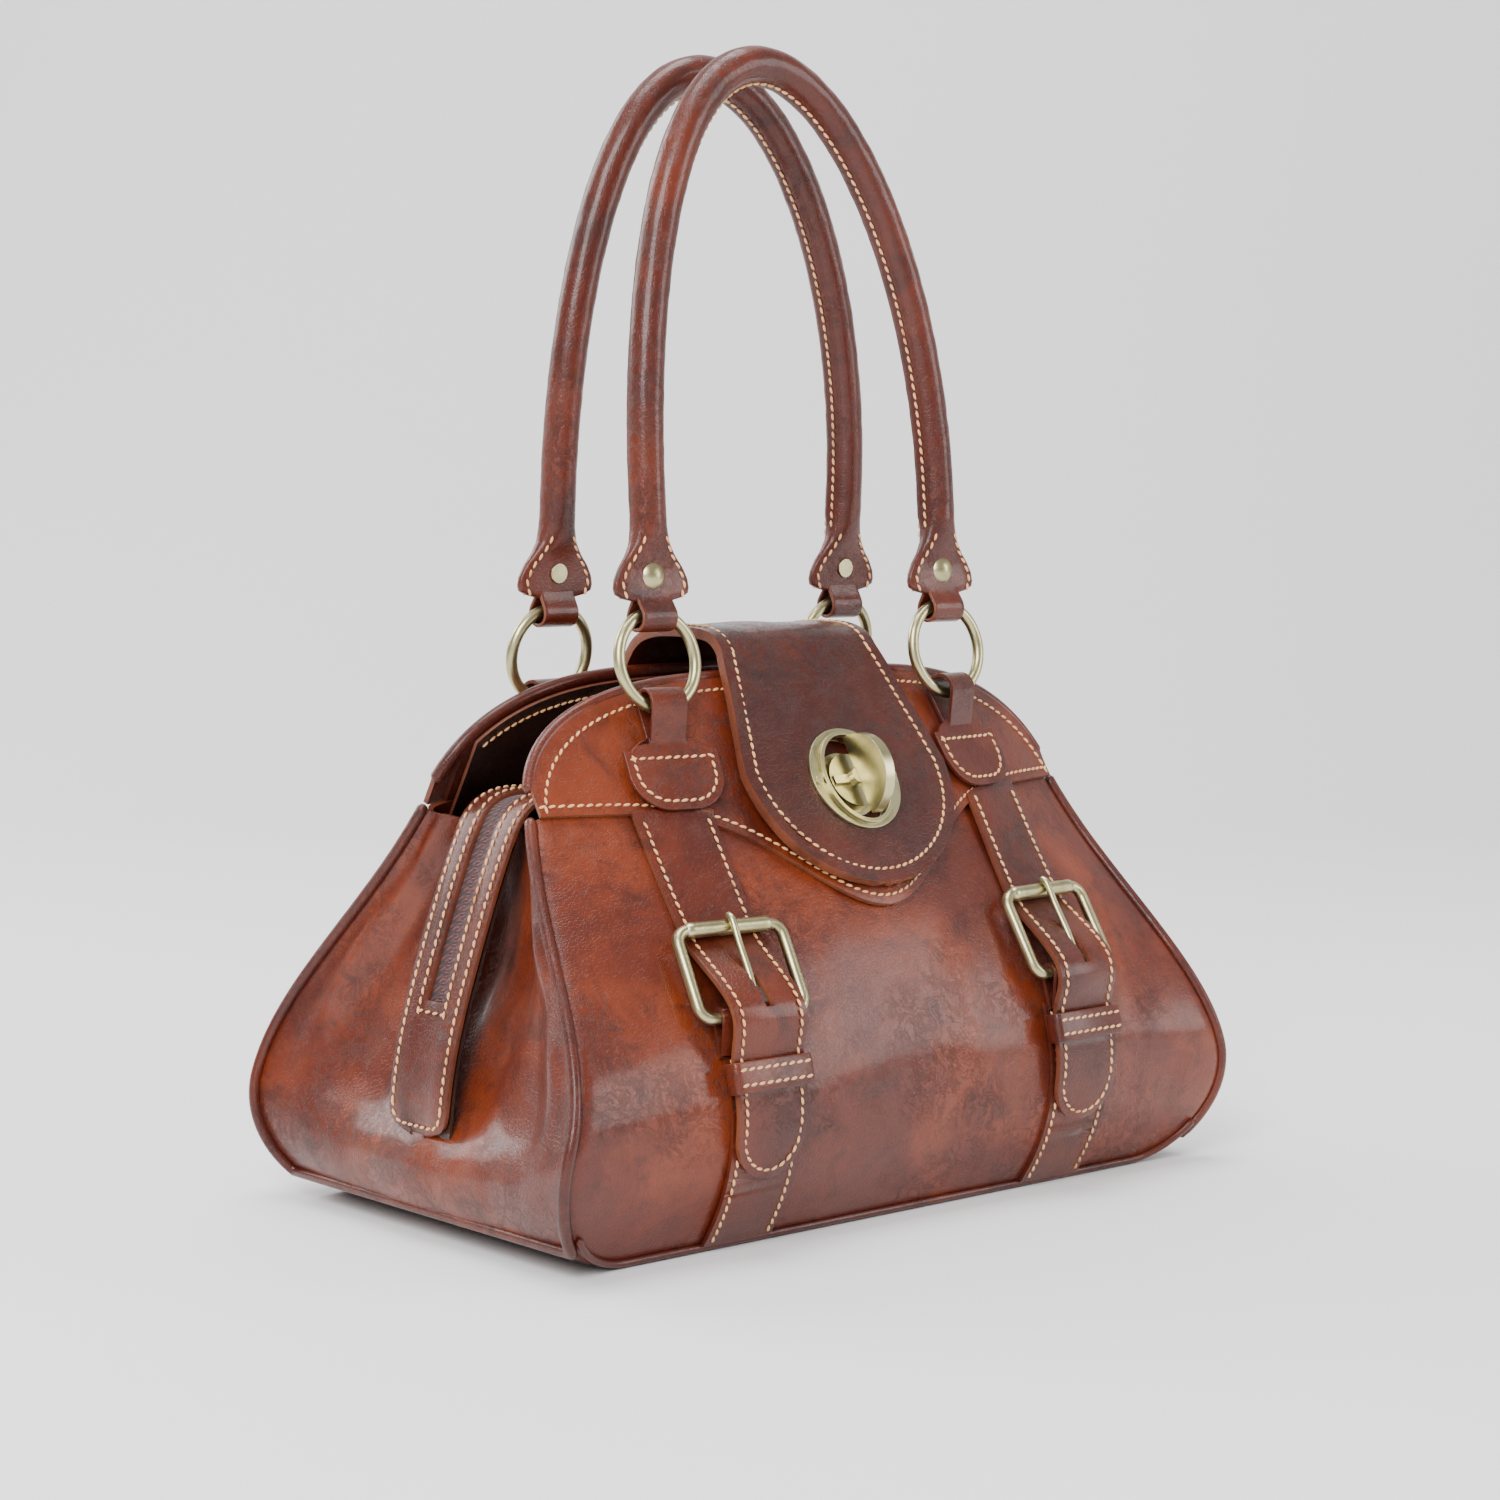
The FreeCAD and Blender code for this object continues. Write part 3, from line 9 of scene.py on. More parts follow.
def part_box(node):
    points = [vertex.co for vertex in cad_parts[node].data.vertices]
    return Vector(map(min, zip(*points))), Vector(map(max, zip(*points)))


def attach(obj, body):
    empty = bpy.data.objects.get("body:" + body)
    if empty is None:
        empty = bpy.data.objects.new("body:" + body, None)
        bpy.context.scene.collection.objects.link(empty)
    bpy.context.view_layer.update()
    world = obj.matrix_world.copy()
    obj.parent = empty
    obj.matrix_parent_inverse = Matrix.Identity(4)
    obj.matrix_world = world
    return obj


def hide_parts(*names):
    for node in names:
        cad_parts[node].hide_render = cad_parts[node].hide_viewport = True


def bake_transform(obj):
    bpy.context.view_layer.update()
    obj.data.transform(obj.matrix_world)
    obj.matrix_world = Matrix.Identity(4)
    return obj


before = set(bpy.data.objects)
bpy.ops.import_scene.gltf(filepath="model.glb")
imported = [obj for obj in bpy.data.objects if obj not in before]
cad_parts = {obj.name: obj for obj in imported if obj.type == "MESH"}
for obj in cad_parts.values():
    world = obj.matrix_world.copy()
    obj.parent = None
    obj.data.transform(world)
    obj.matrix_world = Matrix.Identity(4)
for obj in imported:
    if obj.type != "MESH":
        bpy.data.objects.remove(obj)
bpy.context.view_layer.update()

scene = bpy.context.scene

# ---- camera, floor and light -----------------------------------------------------------------
# A plain pale floor that curves up behind the bag, a broad soft key from the left, a softer fill
# from the right, and a strip above that draws the long highlights on the rolled handles.

camera_data = bpy.data.cameras.new("camera")
camera_data.sensor_width = 36.0
camera_data.lens = 74.0
camera_data.shift_x = -0.001
camera_data.shift_y = 0.056
camera = bpy.data.objects.new("camera", camera_data)
scene.collection.objects.link(camera)
scene.camera = camera
look_at = Vector((0.0, 0.0, 0.1297))
azimuth = math.radians(-40.8)
elevation = math.radians(6.14)
back_direction = Vector((math.sin(azimuth) * math.cos(elevation),
                         -math.cos(azimuth) * math.cos(elevation),
                         math.sin(elevation)))
camera.location = look_at + back_direction * 1.1485
camera.rotation_euler = back_direction.to_track_quat("Z", "Y").to_euler()


def principled(name):
    material = bpy.data.materials.new(name)
    material.use_nodes = True
    return material, material.node_tree.nodes, material.node_tree.links, material.node_tree.nodes["Principled BSDF"]


def floor_sweep():
    profile = [(-3.0, 0.0), (1.2, 0.0)]
    profile += [(1.2 + 0.8 * math.sin(turn * math.pi / 24), 0.8 - 0.8 * math.cos(turn * math.pi / 24))
                for turn in range(1, 13)]
    profile.append((2.0, 4.0))
    across = (math.cos(azimuth), math.sin(azimuth))
    away = (-math.sin(azimuth), math.cos(azimuth))
    verts = []
    for reach, height in profile:
        for side in (-4.0, 4.0):
            verts.append((away[0] * reach + across[0] * side, away[1] * reach + across[1] * side, height))
    faces = [(2 * row, 2 * row + 1, 2 * row + 3, 2 * row + 2) for row in range(len(profile) - 1)]
    mesh = bpy.data.meshes.new("floor")
    mesh.from_pydata(verts, [], faces)
    for polygon in mesh.polygons:
        polygon.use_smooth = True
    floor = bpy.data.objects.new("floor", mesh)
    scene.collection.objects.link(floor)
    material, nodes, links, shader = principled("pale_floor")
    shader.inputs["Base Color"].default_value = (0.9, 0.9, 0.9, 1.0)
    shader.inputs["Roughness"].default_value = 0.7
    mesh.materials.append(material)


floor_sweep()


def soft_light(name, place, aim, width, height, power, colour=(1.0, 1.0, 1.0)):
    light = bpy.data.lights.new(name, "AREA")
    light.shape = "RECTANGLE"
    light.size = width
    light.size_y = height
    light.energy = power
    light.color = colour
    lamp = bpy.data.objects.new(name, light)
    scene.collection.objects.link(lamp)
    lamp.location = place
    lamp.rotation_euler = (Vector(place) - Vector(aim)).to_track_quat("Z", "Y").to_euler()


soft_light("key", (-1.5, -1.0, 1.3), (0.0, 0.0, 0.15), 0.9, 1.3, 52.0)
soft_light("fill", (1.3, -1.5, 0.7), (0.0, 0.0, 0.12), 0.8, 1.1, 17.0)
soft_light("top", (0.0, 0.1, 1.9), (0.0, 0.0, 0.2), 1.3, 0.9, 34.0)
soft_light("rear", (-0.6, 1.6, 1.1), (0.0, 0.0, 0.2), 1.2, 1.0, 26.0)

world = bpy.data.worlds.new("studio")
world.use_nodes = True
world.node_tree.nodes["Background"].inputs["Color"].default_value = (1.0, 1.0, 1.0, 1.0)
world.node_tree.nodes["Background"].inputs["Strength"].default_value = 0.5
scene.world = world

# ---- body panels -----------------------------------------------------------------------------
# Front and back are one hide each, 2 mm thick, glossy aniline leather in mottled cognac. They lean
# back to the collars, bow to the shoulders, and roll over at their edges onto the piping.

corner_half_width = 0.171
shoulder_half_width = 0.125
shoulder_level = 0.145
corner_radius = 0.035
floor_half_depth = 0.077
belly_half_depth = 0.095
belly_level = 0.045
slope_half_depth = 0.068
slope_level = 0.120
collar_half_depth = 0.0255
collar_level = 0.190
shoulder_bow = 0.020
leather = 0.002
seat = 0.0003
front = -1
back = 1
left = -1
right = 1
side_names = {left: "left", right: "right"}
face_names = {front: "front", back: "back"}


def ease(share):
    share = min(max(share, 0.0), 1.0)
    return 0.5 - 0.5 * math.cos(math.pi * share)


def spread(low, high, count):
    return [low + (high - low) * step / (count - 1) for step in range(count)]


def middle_half_depth(level):
    steepness = (collar_half_depth - slope_half_depth) / (collar_level - slope_level)
    if level >= slope_level:
        return slope_half_depth + steepness * (level - slope_level)
    if level >= belly_level:
        span = slope_level - belly_level
        share = (level - belly_level) / span
        rise = 3 * share ** 2 - 2 * share ** 3
        end = share ** 2 * (share - 1) * span * steepness
        return belly_half_depth + (slope_half_depth - belly_half_depth) * rise + end
    share = (belly_level - level) / belly_level
    return belly_half_depth - (belly_half_depth - floor_half_depth) * share ** 2


def half_depth(x, level):
    share = ease((level - belly_level) / (shoulder_level - belly_level))
    return middle_half_depth(level) - shoulder_bow * share * (x / shoulder_half_width) ** 2


def skin_normal(x, level, face):
    step = 0.0002
    along_x = (half_depth(x + step, level) - half_depth(x - step, level)) / (2 * step)
    along_z = (half_depth(x, level + step) - half_depth(x, level - step)) / (2 * step)
    normal = Vector((-along_x, 1.0, -along_z)).normalized()
    return Vector((normal.x, face * normal.y, normal.z))


def skin(x, level, lift, face):
    return Vector((x, face * half_depth(x, level), level)) + skin_normal(x, level, face) * lift


side_slope = (shoulder_half_width - corner_half_width) / shoulder_level
side_angle = math.atan(-side_slope)
corner_centre_x = corner_half_width - corner_radius / math.tan((math.pi / 2 - side_angle) / 2)
corner_top_level = corner_radius * (1 + math.sin(side_angle))


def outline_half_width(level):
    if level < corner_top_level:
        return corner_centre_x + math.sqrt(max(corner_radius ** 2 - (corner_radius - level) ** 2, 0.0))
    return corner_half_width + side_slope * level


def yoke_low_edge(x):
    return shoulder_level + 0.001 - 0.036 * math.exp(-(x / 0.045) ** 2)


def yoke_top_edge(x):
    share = min(abs(x) / shoulder_half_width, 1.0)
    return shoulder_level + (collar_level - shoulder_level) * math.sqrt(1 - share ** 3.5)


def group_socket(tree, name, kind, side, value=None):
    socket = tree.interface.new_socket(name=name, in_out=side, socket_type=kind)
    if value is not None:
        socket.default_value = value
    return socket


def math_node(tree, operation, first, second=None, clamp=False):
    node = tree.nodes.new("ShaderNodeMath")
    node.operation = operation
    node.use_clamp = clamp
    for index, value in enumerate((first, second)):
        if value is None:
            continue
        if isinstance(value, (int, float)):
            node.inputs[index].default_value = value
        else:
            tree.links.new(value, node.inputs[index])
    return node.outputs[0]


def colour_mix(tree, factor, first, second, blend="MIX"):
    node = tree.nodes.new("ShaderNodeMix")
    node.data_type = "RGBA"
    node.blend_type = blend
    for index, value in ((0, factor), (6, first), (7, second)):
        if isinstance(value, (int, float, tuple)):
            node.inputs[index].default_value = value
        else:
            tree.links.new(value, node.inputs[index])
    return node.outputs[2]


def noise_node(tree, vector, scale, detail=3.0, rough=0.55, distortion=0.0):
    node = tree.nodes.new("ShaderNodeTexNoise")
    for name, value in (("Scale", scale), ("Detail", detail), ("Roughness", rough), ("Distortion", distortion)):
        if isinstance(value, (int, float)):
            node.inputs[name].default_value = value
        else:
            tree.links.new(value, node.inputs[name])
    tree.links.new(vector, node.inputs["Vector"])
    return node.outputs["Fac"]


def map_range(tree, value, low, high, out_low=0.0, out_high=1.0):
    node = tree.nodes.new("ShaderNodeMapRange")
    node.interpolation_type = "SMOOTHSTEP"
    tree.links.new(value, node.inputs["Value"])
    for name, number in (("From Min", low), ("From Max", high), ("To Min", out_low), ("To Max", out_high)):
        node.inputs[name].default_value = number
    return node.outputs["Result"]


def hide_group():
    # mottled dye, pores, fine creases and rubbed high spots of a polished hide; the crease lines are also painted
    # darker as shade
    tree = bpy.data.node_groups.new("polished_hide", "ShaderNodeTree")
    group_socket(tree, "Tone", "NodeSocketColor", "INPUT")
    group_socket(tree, "Deep", "NodeSocketColor", "INPUT")
    group_socket(tree, "Glow", "NodeSocketColor", "INPUT")
    group_socket(tree, "Crease", "NodeSocketFloat", "INPUT", 1.0)
    group_socket(tree, "Color", "NodeSocketColor", "OUTPUT")
    group_socket(tree, "Roughness", "NodeSocketFloat", "OUTPUT")
    group_socket(tree, "Height", "NodeSocketFloat", "OUTPUT")
    inputs = tree.nodes.new("NodeGroupInput")
    outputs = tree.nodes.new("NodeGroupOutput")
    place = tree.nodes.new("ShaderNodeTexCoord").outputs["Object"]
    cloud = noise_node(tree, place, 16.0, 5.0, 0.6, 0.5)
    patch = noise_node(tree, place, 55.0, 4.0, 0.65, 0.8)
    fleck = noise_node(tree, place, 260.0, 3.0, 0.6, 0.3)
    warm = colour_mix(tree, map_range(tree, cloud, 0.42, 0.68), inputs.outputs["Tone"], inputs.outputs["Glow"])
    dark = math_node(tree, "MULTIPLY", map_range(tree, patch, 0.47, 0.72), 0.62)
    body = colour_mix(tree, dark, warm, inputs.outputs["Deep"])
    flecked = colour_mix(tree, math_node(tree, "MULTIPLY", map_range(tree, fleck, 0.55, 0.75), 0.35),
                         body, inputs.outputs["Deep"])
    cells = tree.nodes.new("ShaderNodeTexVoronoi")
    cells.feature = "DISTANCE_TO_EDGE"
    cells.inputs["Scale"].default_value = 620.0
    bend = tree.nodes.new("ShaderNodeVectorMath")
    bend.operation = "MULTIPLY_ADD"
    wobble = tree.nodes.new("ShaderNodeTexNoise")
    wobble.inputs["Scale"].default_value = 140.0
    tree.links.new(place, wobble.inputs["Vector"])
    tree.links.new(wobble.outputs["Color"], bend.inputs[0])
    bend.inputs[1].default_value = (0.006, 0.006, 0.006)
    tree.links.new(place, bend.inputs[2])
    tree.links.new(bend.outputs[0], cells.inputs["Vector"])
    pebble = map_range(tree, cells.outputs["Distance"], 0.0, 0.22)
    crease_field = noise_node(tree, bend.outputs[0], 95.0, 6.0, 0.72, 1.6)
    crease = map_range(tree, math_node(tree, "ABSOLUTE", math_node(tree, "SUBTRACT", crease_field, 0.5)),
                       0.0, 0.05)
    where = map_range(tree, noise_node(tree, place, 24.0, 2.0), 0.42, 0.62)
    creased = math_node(tree, "MULTIPLY", math_node(tree, "SUBTRACT", 1.0, crease), where)
    creased = math_node(tree, "MULTIPLY", creased, inputs.outputs["Crease"])
    pore_depth = math_node(tree, "MULTIPLY", math_node(tree, "SUBTRACT", 1.0, pebble), 0.32)
    fine = math_node(tree, "MULTIPLY", noise_node(tree, place, 1500.0, 2.0), 0.16)
    height = math_node(tree, "SUBTRACT", fine, math_node(tree, "ADD", pore_depth,
                                                         math_node(tree, "MULTIPLY", creased, 0.75)))
    # painted shade: the crease lines are darkened towards the Deep tone
    crease_painted_shade = colour_mix(tree, math_node(tree, "MULTIPLY", creased, 0.4), flecked, inputs.outputs["Deep"])
    rough = math_node(tree, "ADD", 0.27, math_node(tree, "MULTIPLY", patch, 0.2))
    rough = math_node(tree, "ADD", rough, math_node(tree, "MULTIPLY", creased, 0.12))
    tree.links.new(crease_painted_shade, outputs.inputs["Color"])
    tree.links.new(rough, outputs.inputs["Roughness"])
    tree.links.new(height, outputs.inputs["Height"])
    return tree


polished_hide = hide_group()


def hide_material(name, tone, deep, glow, crease=1.0, bump=0.00022, coat=0.28):
    material, nodes, links, shader = principled(name)
    group = nodes.new("ShaderNodeGroup")
    group.node_tree = polished_hide
    group.inputs["Tone"].default_value = tone + (1.0,)
    group.inputs["Deep"].default_value = deep + (1.0,)
    group.inputs["Glow"].default_value = glow + (1.0,)
    # Crease sets both the depth of the creases and the strength of their painted shade
    group.inputs["Crease"].default_value = crease
    relief = nodes.new("ShaderNodeBump")
    relief.inputs["Strength"].default_value = 0.8
    relief.inputs["Distance"].default_value = bump
    links.new(group.outputs["Color"], shader.inputs["Base Color"])
    links.new(group.outputs["Roughness"], shader.inputs["Roughness"])
    links.new(group.outputs["Height"], relief.inputs["Height"])
    links.new(relief.outputs["Normal"], shader.inputs["Normal"])
    shader.inputs["Specular IOR Level"].default_value = 0.32
    shader.inputs["Coat Weight"].default_value = coat
    shader.inputs["Coat Roughness"].default_value = 0.16
    return material


body_hide = hide_material("body_hide", (0.092, 0.0120, 0.0038), (0.034, 0.0045, 0.0022), (0.180, 0.029, 0.0070))
trim_hide = hide_material("trim_hide", (0.070, 0.0090, 0.0034), (0.028, 0.0040, 0.0022), (0.118, 0.018, 0.0055))
flap_hide = hide_material("flap_hide", (0.046, 0.0066, 0.0034), (0.017, 0.0028, 0.0022), (0.080, 0.0125, 0.0052),
                          crease=1.4)
facing_hide = hide_material("facing_hide", (0.030, 0.012, 0.009), (0.012, 0.005, 0.004), (0.045, 0.018, 0.012),
                            coat=0.1)
cut_edge = hide_material("cut_edge", (0.150, 0.040, 0.020), (0.070, 0.017, 0.009), (0.210, 0.065, 0.030),
                         crease=0.4, coat=0.05)


def add_object(name, verts, faces, materials, wall_faces=()):
    mesh = bpy.data.meshes.new(name)
    mesh.from_pydata([tuple(point) for point in verts], [], faces)
    for material in materials:
        mesh.materials.append(material)
    walls = set(wall_faces)
    for polygon in mesh.polygons:
        polygon.use_smooth = True
        if polygon.index in walls:
            polygon.material_index = min(1, len(materials) - 1)
    piece = bpy.data.objects.new(name, mesh)
    scene.collection.objects.link(piece)
    return piece


def apply_modifiers(piece):
    # the evaluated shape becomes the piece's own plain mesh
    depsgraph = bpy.context.evaluated_depsgraph_get()
    depsgraph.update()
    plain = bpy.data.meshes.new_from_object(piece.evaluated_get(depsgraph))
    piece.modifiers.clear()
    piece.data = plain
    return piece


def round_edges(piece, width, segments=3, angle=50.0):
    bevel = piece.modifiers.new("soft_edge", "BEVEL")
    bevel.width = width
    bevel.segments = segments
    bevel.limit_method = "ANGLE"
    bevel.angle_limit = math.radians(angle)
    bevel.harden_normals = False
    bevel.use_clamp_overlap = True
    return apply_modifiers(piece)


def grid_normals(rows, outward):
    # normals of a grid of points, on the side that the outward vector or function points to
    normals = []
    last_row = len(rows) - 1
    last_column = len(rows[0]) - 1
    for r, row in enumerate(rows):
        line = []
        for c in range(len(row)):
            along = row[min(c + 1, last_column)] - row[max(c - 1, 0)]
            up = rows[min(r + 1, last_row)][c] - rows[max(r - 1, 0)][c]
            line.append(along.cross(up).normalized())
        normals.append(line)
    middle = normals[last_row // 2][last_column // 2]
    toward = outward(rows[last_row // 2][last_column // 2]) if callable(outward) else outward
    sign = 1.0 if middle.dot(toward) > 0 else -1.0
    return [[normal * sign for normal in line] for line in normals], sign


def hide_sheet(name, rows, thickness, outward, materials, missing=None, edge_round=0.35):
    # a closed sheet of leather from its outer face; missing(r, c) leaves out a cell, as for a slot
    normals, sign = grid_normals(rows, outward)
    row_count = len(rows)
    column_count = len(rows[0])
    verts = [point for row in rows for point in row]
    total = len(verts)
    verts += [point - normal * thickness for row, line in zip(rows, normals) for point, normal in zip(row, line)]
    present = {(r, c) for r in range(row_count - 1) for c in range(column_count - 1)
               if missing is None or not missing(r, c)}
    faces = []
    walls = []
    for r, c in sorted(present):
        corners = [r * column_count + c, r * column_count + c + 1,
                   (r + 1) * column_count + c + 1, (r + 1) * column_count + c]
        outer = corners if sign > 0 else corners[::-1]
        faces.append(tuple(outer))
        faces.append(tuple(total + index for index in reversed(outer)))
        neighbours = [((r - 1, c), 0, 1), ((r, c + 1), 1, 2), ((r + 1, c), 2, 3), ((r, c - 1), 3, 0)]
        for cell, start, end in neighbours:
            if cell not in present:
                first, second = corners[start], corners[end]
                wall = (second, first, total + first, total + second)
                walls.append(len(faces))
                faces.append(wall if sign > 0 else wall[::-1])
    piece = add_object(name, verts, faces, materials, walls)
    tidy = bmesh.new()
    tidy.from_mesh(piece.data)
    bmesh.ops.delete(tidy, geom=[vert for vert in tidy.verts if not vert.link_faces], context="VERTS")
    tidy.to_mesh(piece.data)
    tidy.free()
    if edge_round:
        round_edges(piece, thickness * edge_round)
    return piece


def seat_on(piece, body, slot_name, *nodes):
    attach(piece, body)
    if nodes:
        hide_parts(*nodes)
    return piece


stitch_lines = {}


def stitch_line(body, points, normals):
    stitch_lines.setdefault(body, []).append((points, normals))


def stitch_on_skin(body, route, lift, face):
    # route: (x, level) places on a panel's face
    points = [skin(x, level, lift, face) for x, level in route]
    normals = [skin_normal(x, level, face) for x, level in route]
    stitch_line(body, points, normals)


def soft_relief(point, strength):
    # slow dents and ripples that a full hide takes over a stiff body
    slow = noise.noise(point * 17.0)
    ripple = noise.noise(Vector((point.x * 60.0, point.y * 60.0, point.z * 24.0)) + Vector((3.1, 5.7, 1.3)))
    return strength * (0.75 * slow + 0.25 * ripple)


edge_shares = [0.962, 0.976, 0.987, 0.995, 1.0]
inner_shares = spread(-0.945, 0.945, 69)
panel_shares = [-share for share in reversed(edge_shares)] + inner_shares + edge_shares
roll_width = 0.0045


def rolled(distance, depth):
    # how far the surface has rolled back at a distance inside its edge
    if distance >= roll_width:
        return 0.0
    share = 1 - max(distance, 0.0) / roll_width
    return depth * (1 - math.sqrt(max(1 - share ** 2, 0.0)))


def panel_rows(face):
    levels = [(corner_radius * (1 + math.sin(angle)) + seat, 0.0) for angle in spread(-math.pi / 2, side_angle, 22)]
    levels += [(None, climb) for climb in spread(0, 1, 44)[1:]]
    rows = []
    for level, climb in levels:
        row = []
        for share in panel_shares:
            if level is None:
                top = yoke_low_edge(share * shoulder_half_width) + 0.006 * (1 - share ** 4)
                height = corner_top_level + seat + (top - corner_top_level - seat) * climb
            else:
                height = level
            reach = outline_half_width(height)
            x = share * reach
            inside = min(reach - abs(x), height * 1.2)
            calm = min(1.0, inside / 0.02) * min(1.0, max(0.148 - height, 0.0) / 0.02 + 0.15)
            lift = soft_relief(Vector((x, face * 0.1, height)), 0.0016) * calm - rolled(inside, 0.0022)
            row.append(skin(x, height, lift - 0.0003 * calm, face))
        rows.append(row)
    return rows


for face in (front, back):
    panel = hide_sheet(f"{face_names[face]}_hide", panel_rows(face), leather, Vector((0, face, 0.2)),
                       (body_hide, cut_edge), edge_round=0.25)
    seat_on(panel, "bag", "body_leather", f"{face_names[face]}_panel")

# ---- gussets, base and piping ----------------------------------------------------------------
# The ends are soft hide, full at the bottom and pinched inwards above, where the leather breaks into
# folds. A leather-covered cord is caught in every seam round them, and in the base's long edges.

base_end = 0.147
gusset_fold = 0.0175


def outline_station(share):
    seam_angle = -math.acos((base_end - corner_centre_x) / corner_radius)
    corner_length = corner_radius * (side_angle - seam_angle)
    side_length = (shoulder_level - corner_top_level) / math.cos(side_angle)
    travelled = share * (corner_length + side_length)
    if travelled <= corner_length:
        angle = seam_angle + travelled / corner_radius
        return corner_centre_x + corner_radius * math.cos(angle), corner_radius * (1 + math.sin(angle)), angle
    level = corner_top_level + (travelled - corner_length) * math.cos(side_angle)
    return outline_half_width(level), level, side_angle


def fold_depth(level, share):
    return gusset_fold * ease((level - 0.010) / 0.045) * (1 - abs(share) ** 2.2)


def gusset_rows(side):
    rows = []
    for travel in spread(0.0, 0.995, 74):
        x, level, angle = outline_station(travel)
        reach = half_depth(x, level) - 0.0026
        row = []
        for share in spread(-1, 1, 61):
            y = share * reach
            calm = (1 - share ** 6) * min(1.0, travel / 0.12) * min(1.0, (1.02 - travel) / 0.12)
            spot = Vector((side * x, y, level))
            broad = noise.noise(Vector((side * 2.0, y * 34.0, level * 15.0)))
            drawn = math.sin(y * 240.0 + 4.0 * noise.noise(spot * 26.0)) * ease((level - 0.05) / 0.06)
            small = noise.noise(Vector((level * 42.0, y * 75.0, 4.4)))
            swell = 0.0042 * math.exp(-((level - 0.045) / 0.035) ** 2) * (1 - share ** 2)
            shoulder_fold = 0.0035 * math.exp(-((abs(share) - 0.80) / 0.09) ** 2) * ease((level - 0.03) / 0.05)
            out = swell + shoulder_fold + calm * (0.0022 * broad + 0.0011 * drawn + 0.0009 * small)
            depth = fold_depth(level, share) - out
            row.append(Vector((side * (x - math.cos(angle) * depth), y, level - math.sin(angle) * depth)))
        rows.append(row)
    return rows


def frames_along(points, closed=False):
    # tangent and two cross directions at each point, carried along without twist
    count = len(points)
    tangents = []
    for index in range(count):
        if closed:
            along = points[(index + 1) % count] - points[index - 1]
        else:
            along = points[min(index + 1, count - 1)] - points[max(index - 1, 0)]
        tangents.append(along.normalized())
    helper = Vector((0, 0, 1)) if abs(tangents[0].z) < 0.9 else Vector((1, 0, 0))
    side = tangents[0].cross(helper).normalized()
    frames = []
    for tangent in tangents:
        side = (side - tangent * side.dot(tangent)).normalized()
        frames.append((tangent, side, tangent.cross(side)))
    return frames


def cord_tube(name, points, radius, materials, sides=14, closed=False):
    # a round cord along a line; its ends are domed
    frames = frames_along(points, closed)
    verts = []
    faces = []
    count = len(points)
    for index, (point, (tangent, first, second)) in enumerate(zip(points, frames)):
        for turn in range(sides):
            angle = 2 * math.pi * turn / sides
            verts.append(point + first * (math.cos(angle) * radius) + second * (math.sin(angle) * radius))
    for index in range(count if closed else count - 1):
        following = (index + 1) % count
        for turn in range(sides):
            beside = (turn + 1) % sides
            faces.append((index * sides + turn, index * sides + beside,
                          following * sides + beside, following * sides + turn))
    if not closed:
        for end, sign in ((0, -1), (count - 1, 1)):
            ring = [end * sides + turn for turn in range(sides)]
            inner = []
            tangent, first, second = frames[end]
            for turn in range(sides):
                angle = 2 * math.pi * turn / sides
                verts.append(points[end] + tangent * (sign * radius * 0.6)
                             + (first * math.cos(angle) + second * math.sin(angle)) * (radius * 0.6))
                inner.append(len(verts) - 1)
            tip = len(verts)
            verts.append(points[end] + tangent * (sign * radius * 0.85))
            for turn in range(sides):
                beside = (turn + 1) % sides
                quad = (ring[turn], ring[beside], inner[beside], inner[turn])
                cap = (inner[turn], inner[beside], tip)
                faces.append(quad if sign > 0 else quad[::-1])
                faces.append(cap if sign > 0 else cap[::-1])
    return add_object(name, verts, faces, materials)


def joined(name, pieces):
    # several meshes of one piece made a single mesh
    merged = bmesh.new()
    materials = []
    for piece in pieces:
        offset = []
        for material in piece.data.materials:
            if material not in materials:
                materials.append(material)
            offset.append(materials.index(material))
        for polygon in piece.data.polygons:
            polygon.material_index = offset[polygon.material_index] if offset else 0
        merged.from_mesh(piece.data)
        bpy.data.objects.remove(piece)
    mesh = bpy.data.meshes.new(name)
    merged.to_mesh(mesh)
    merged.free()
    for material in materials:
        mesh.materials.append(material)
    whole = bpy.data.objects.new(name, mesh)
    scene.collection.objects.link(whole)
    return whole


piping_radius = 0.0021


def seam_cord(side, lift):
    # along the front seam from the shoulder, under the end of the base, and up the back seam
    shares = spread(0.998, 0.01, 70)
    front_line = []
    for share in shares:
        x, level, angle = outline_station(share)
        depth = half_depth(x, level) - 0.0012
        front_line.append(Vector((side * (x + math.cos(angle) * lift), -depth, level + math.sin(angle) * lift)))
    x, level, angle = outline_station(0.01)
    reach = half_depth(x, level) - 0.0012
    bottom = [Vector((side * (x + math.cos(angle) * lift), y, level + math.sin(angle) * lift))
              for y in spread(-reach * 0.96, reach * 0.96, 40)]
    back_line = [Vector((point.x, -point.y, point.z)) for point in reversed(front_line)]
    return front_line + bottom + back_line


for side in (left, right):
    name = side_names[side]
    end_hide = hide_sheet(f"end_hide_{name}", gusset_rows(side), leather, Vector((side, 0, 0)),
                          (body_hide, cut_edge), edge_round=0.2)
    seat_on(end_hide, "bag", "body_leather", f"gusset_{name}")
    cord = cord_tube(f"seam_piping_{name}", seam_cord(side, 0.0010), piping_radius, (trim_hide,))
    seat_on(cord, "bag", "trim_leather", f"piping_{name}")


def base_rows():
    end_angle = -math.acos((base_end - corner_centre_x) / corner_radius)
    ends = [(corner_centre_x + corner_radius * math.cos(angle), corner_radius * (1 + math.sin(angle)))
            for angle in spread(-math.pi / 2, end_angle, 8)]
    stations = [(-x, level) for x, level in reversed(ends)]
    stations += [(x, 0.0) for x in spread(-corner_centre_x, corner_centre_x, 40)[1:-1]]
    stations += ends
    rows = []
    for x, level in stations:
        reach = middle_half_depth(level) - 0.0026
        rows.append([Vector((x, share * reach, level + 0.00005)) for share in spread(-1, 1, 25)])
    return rows


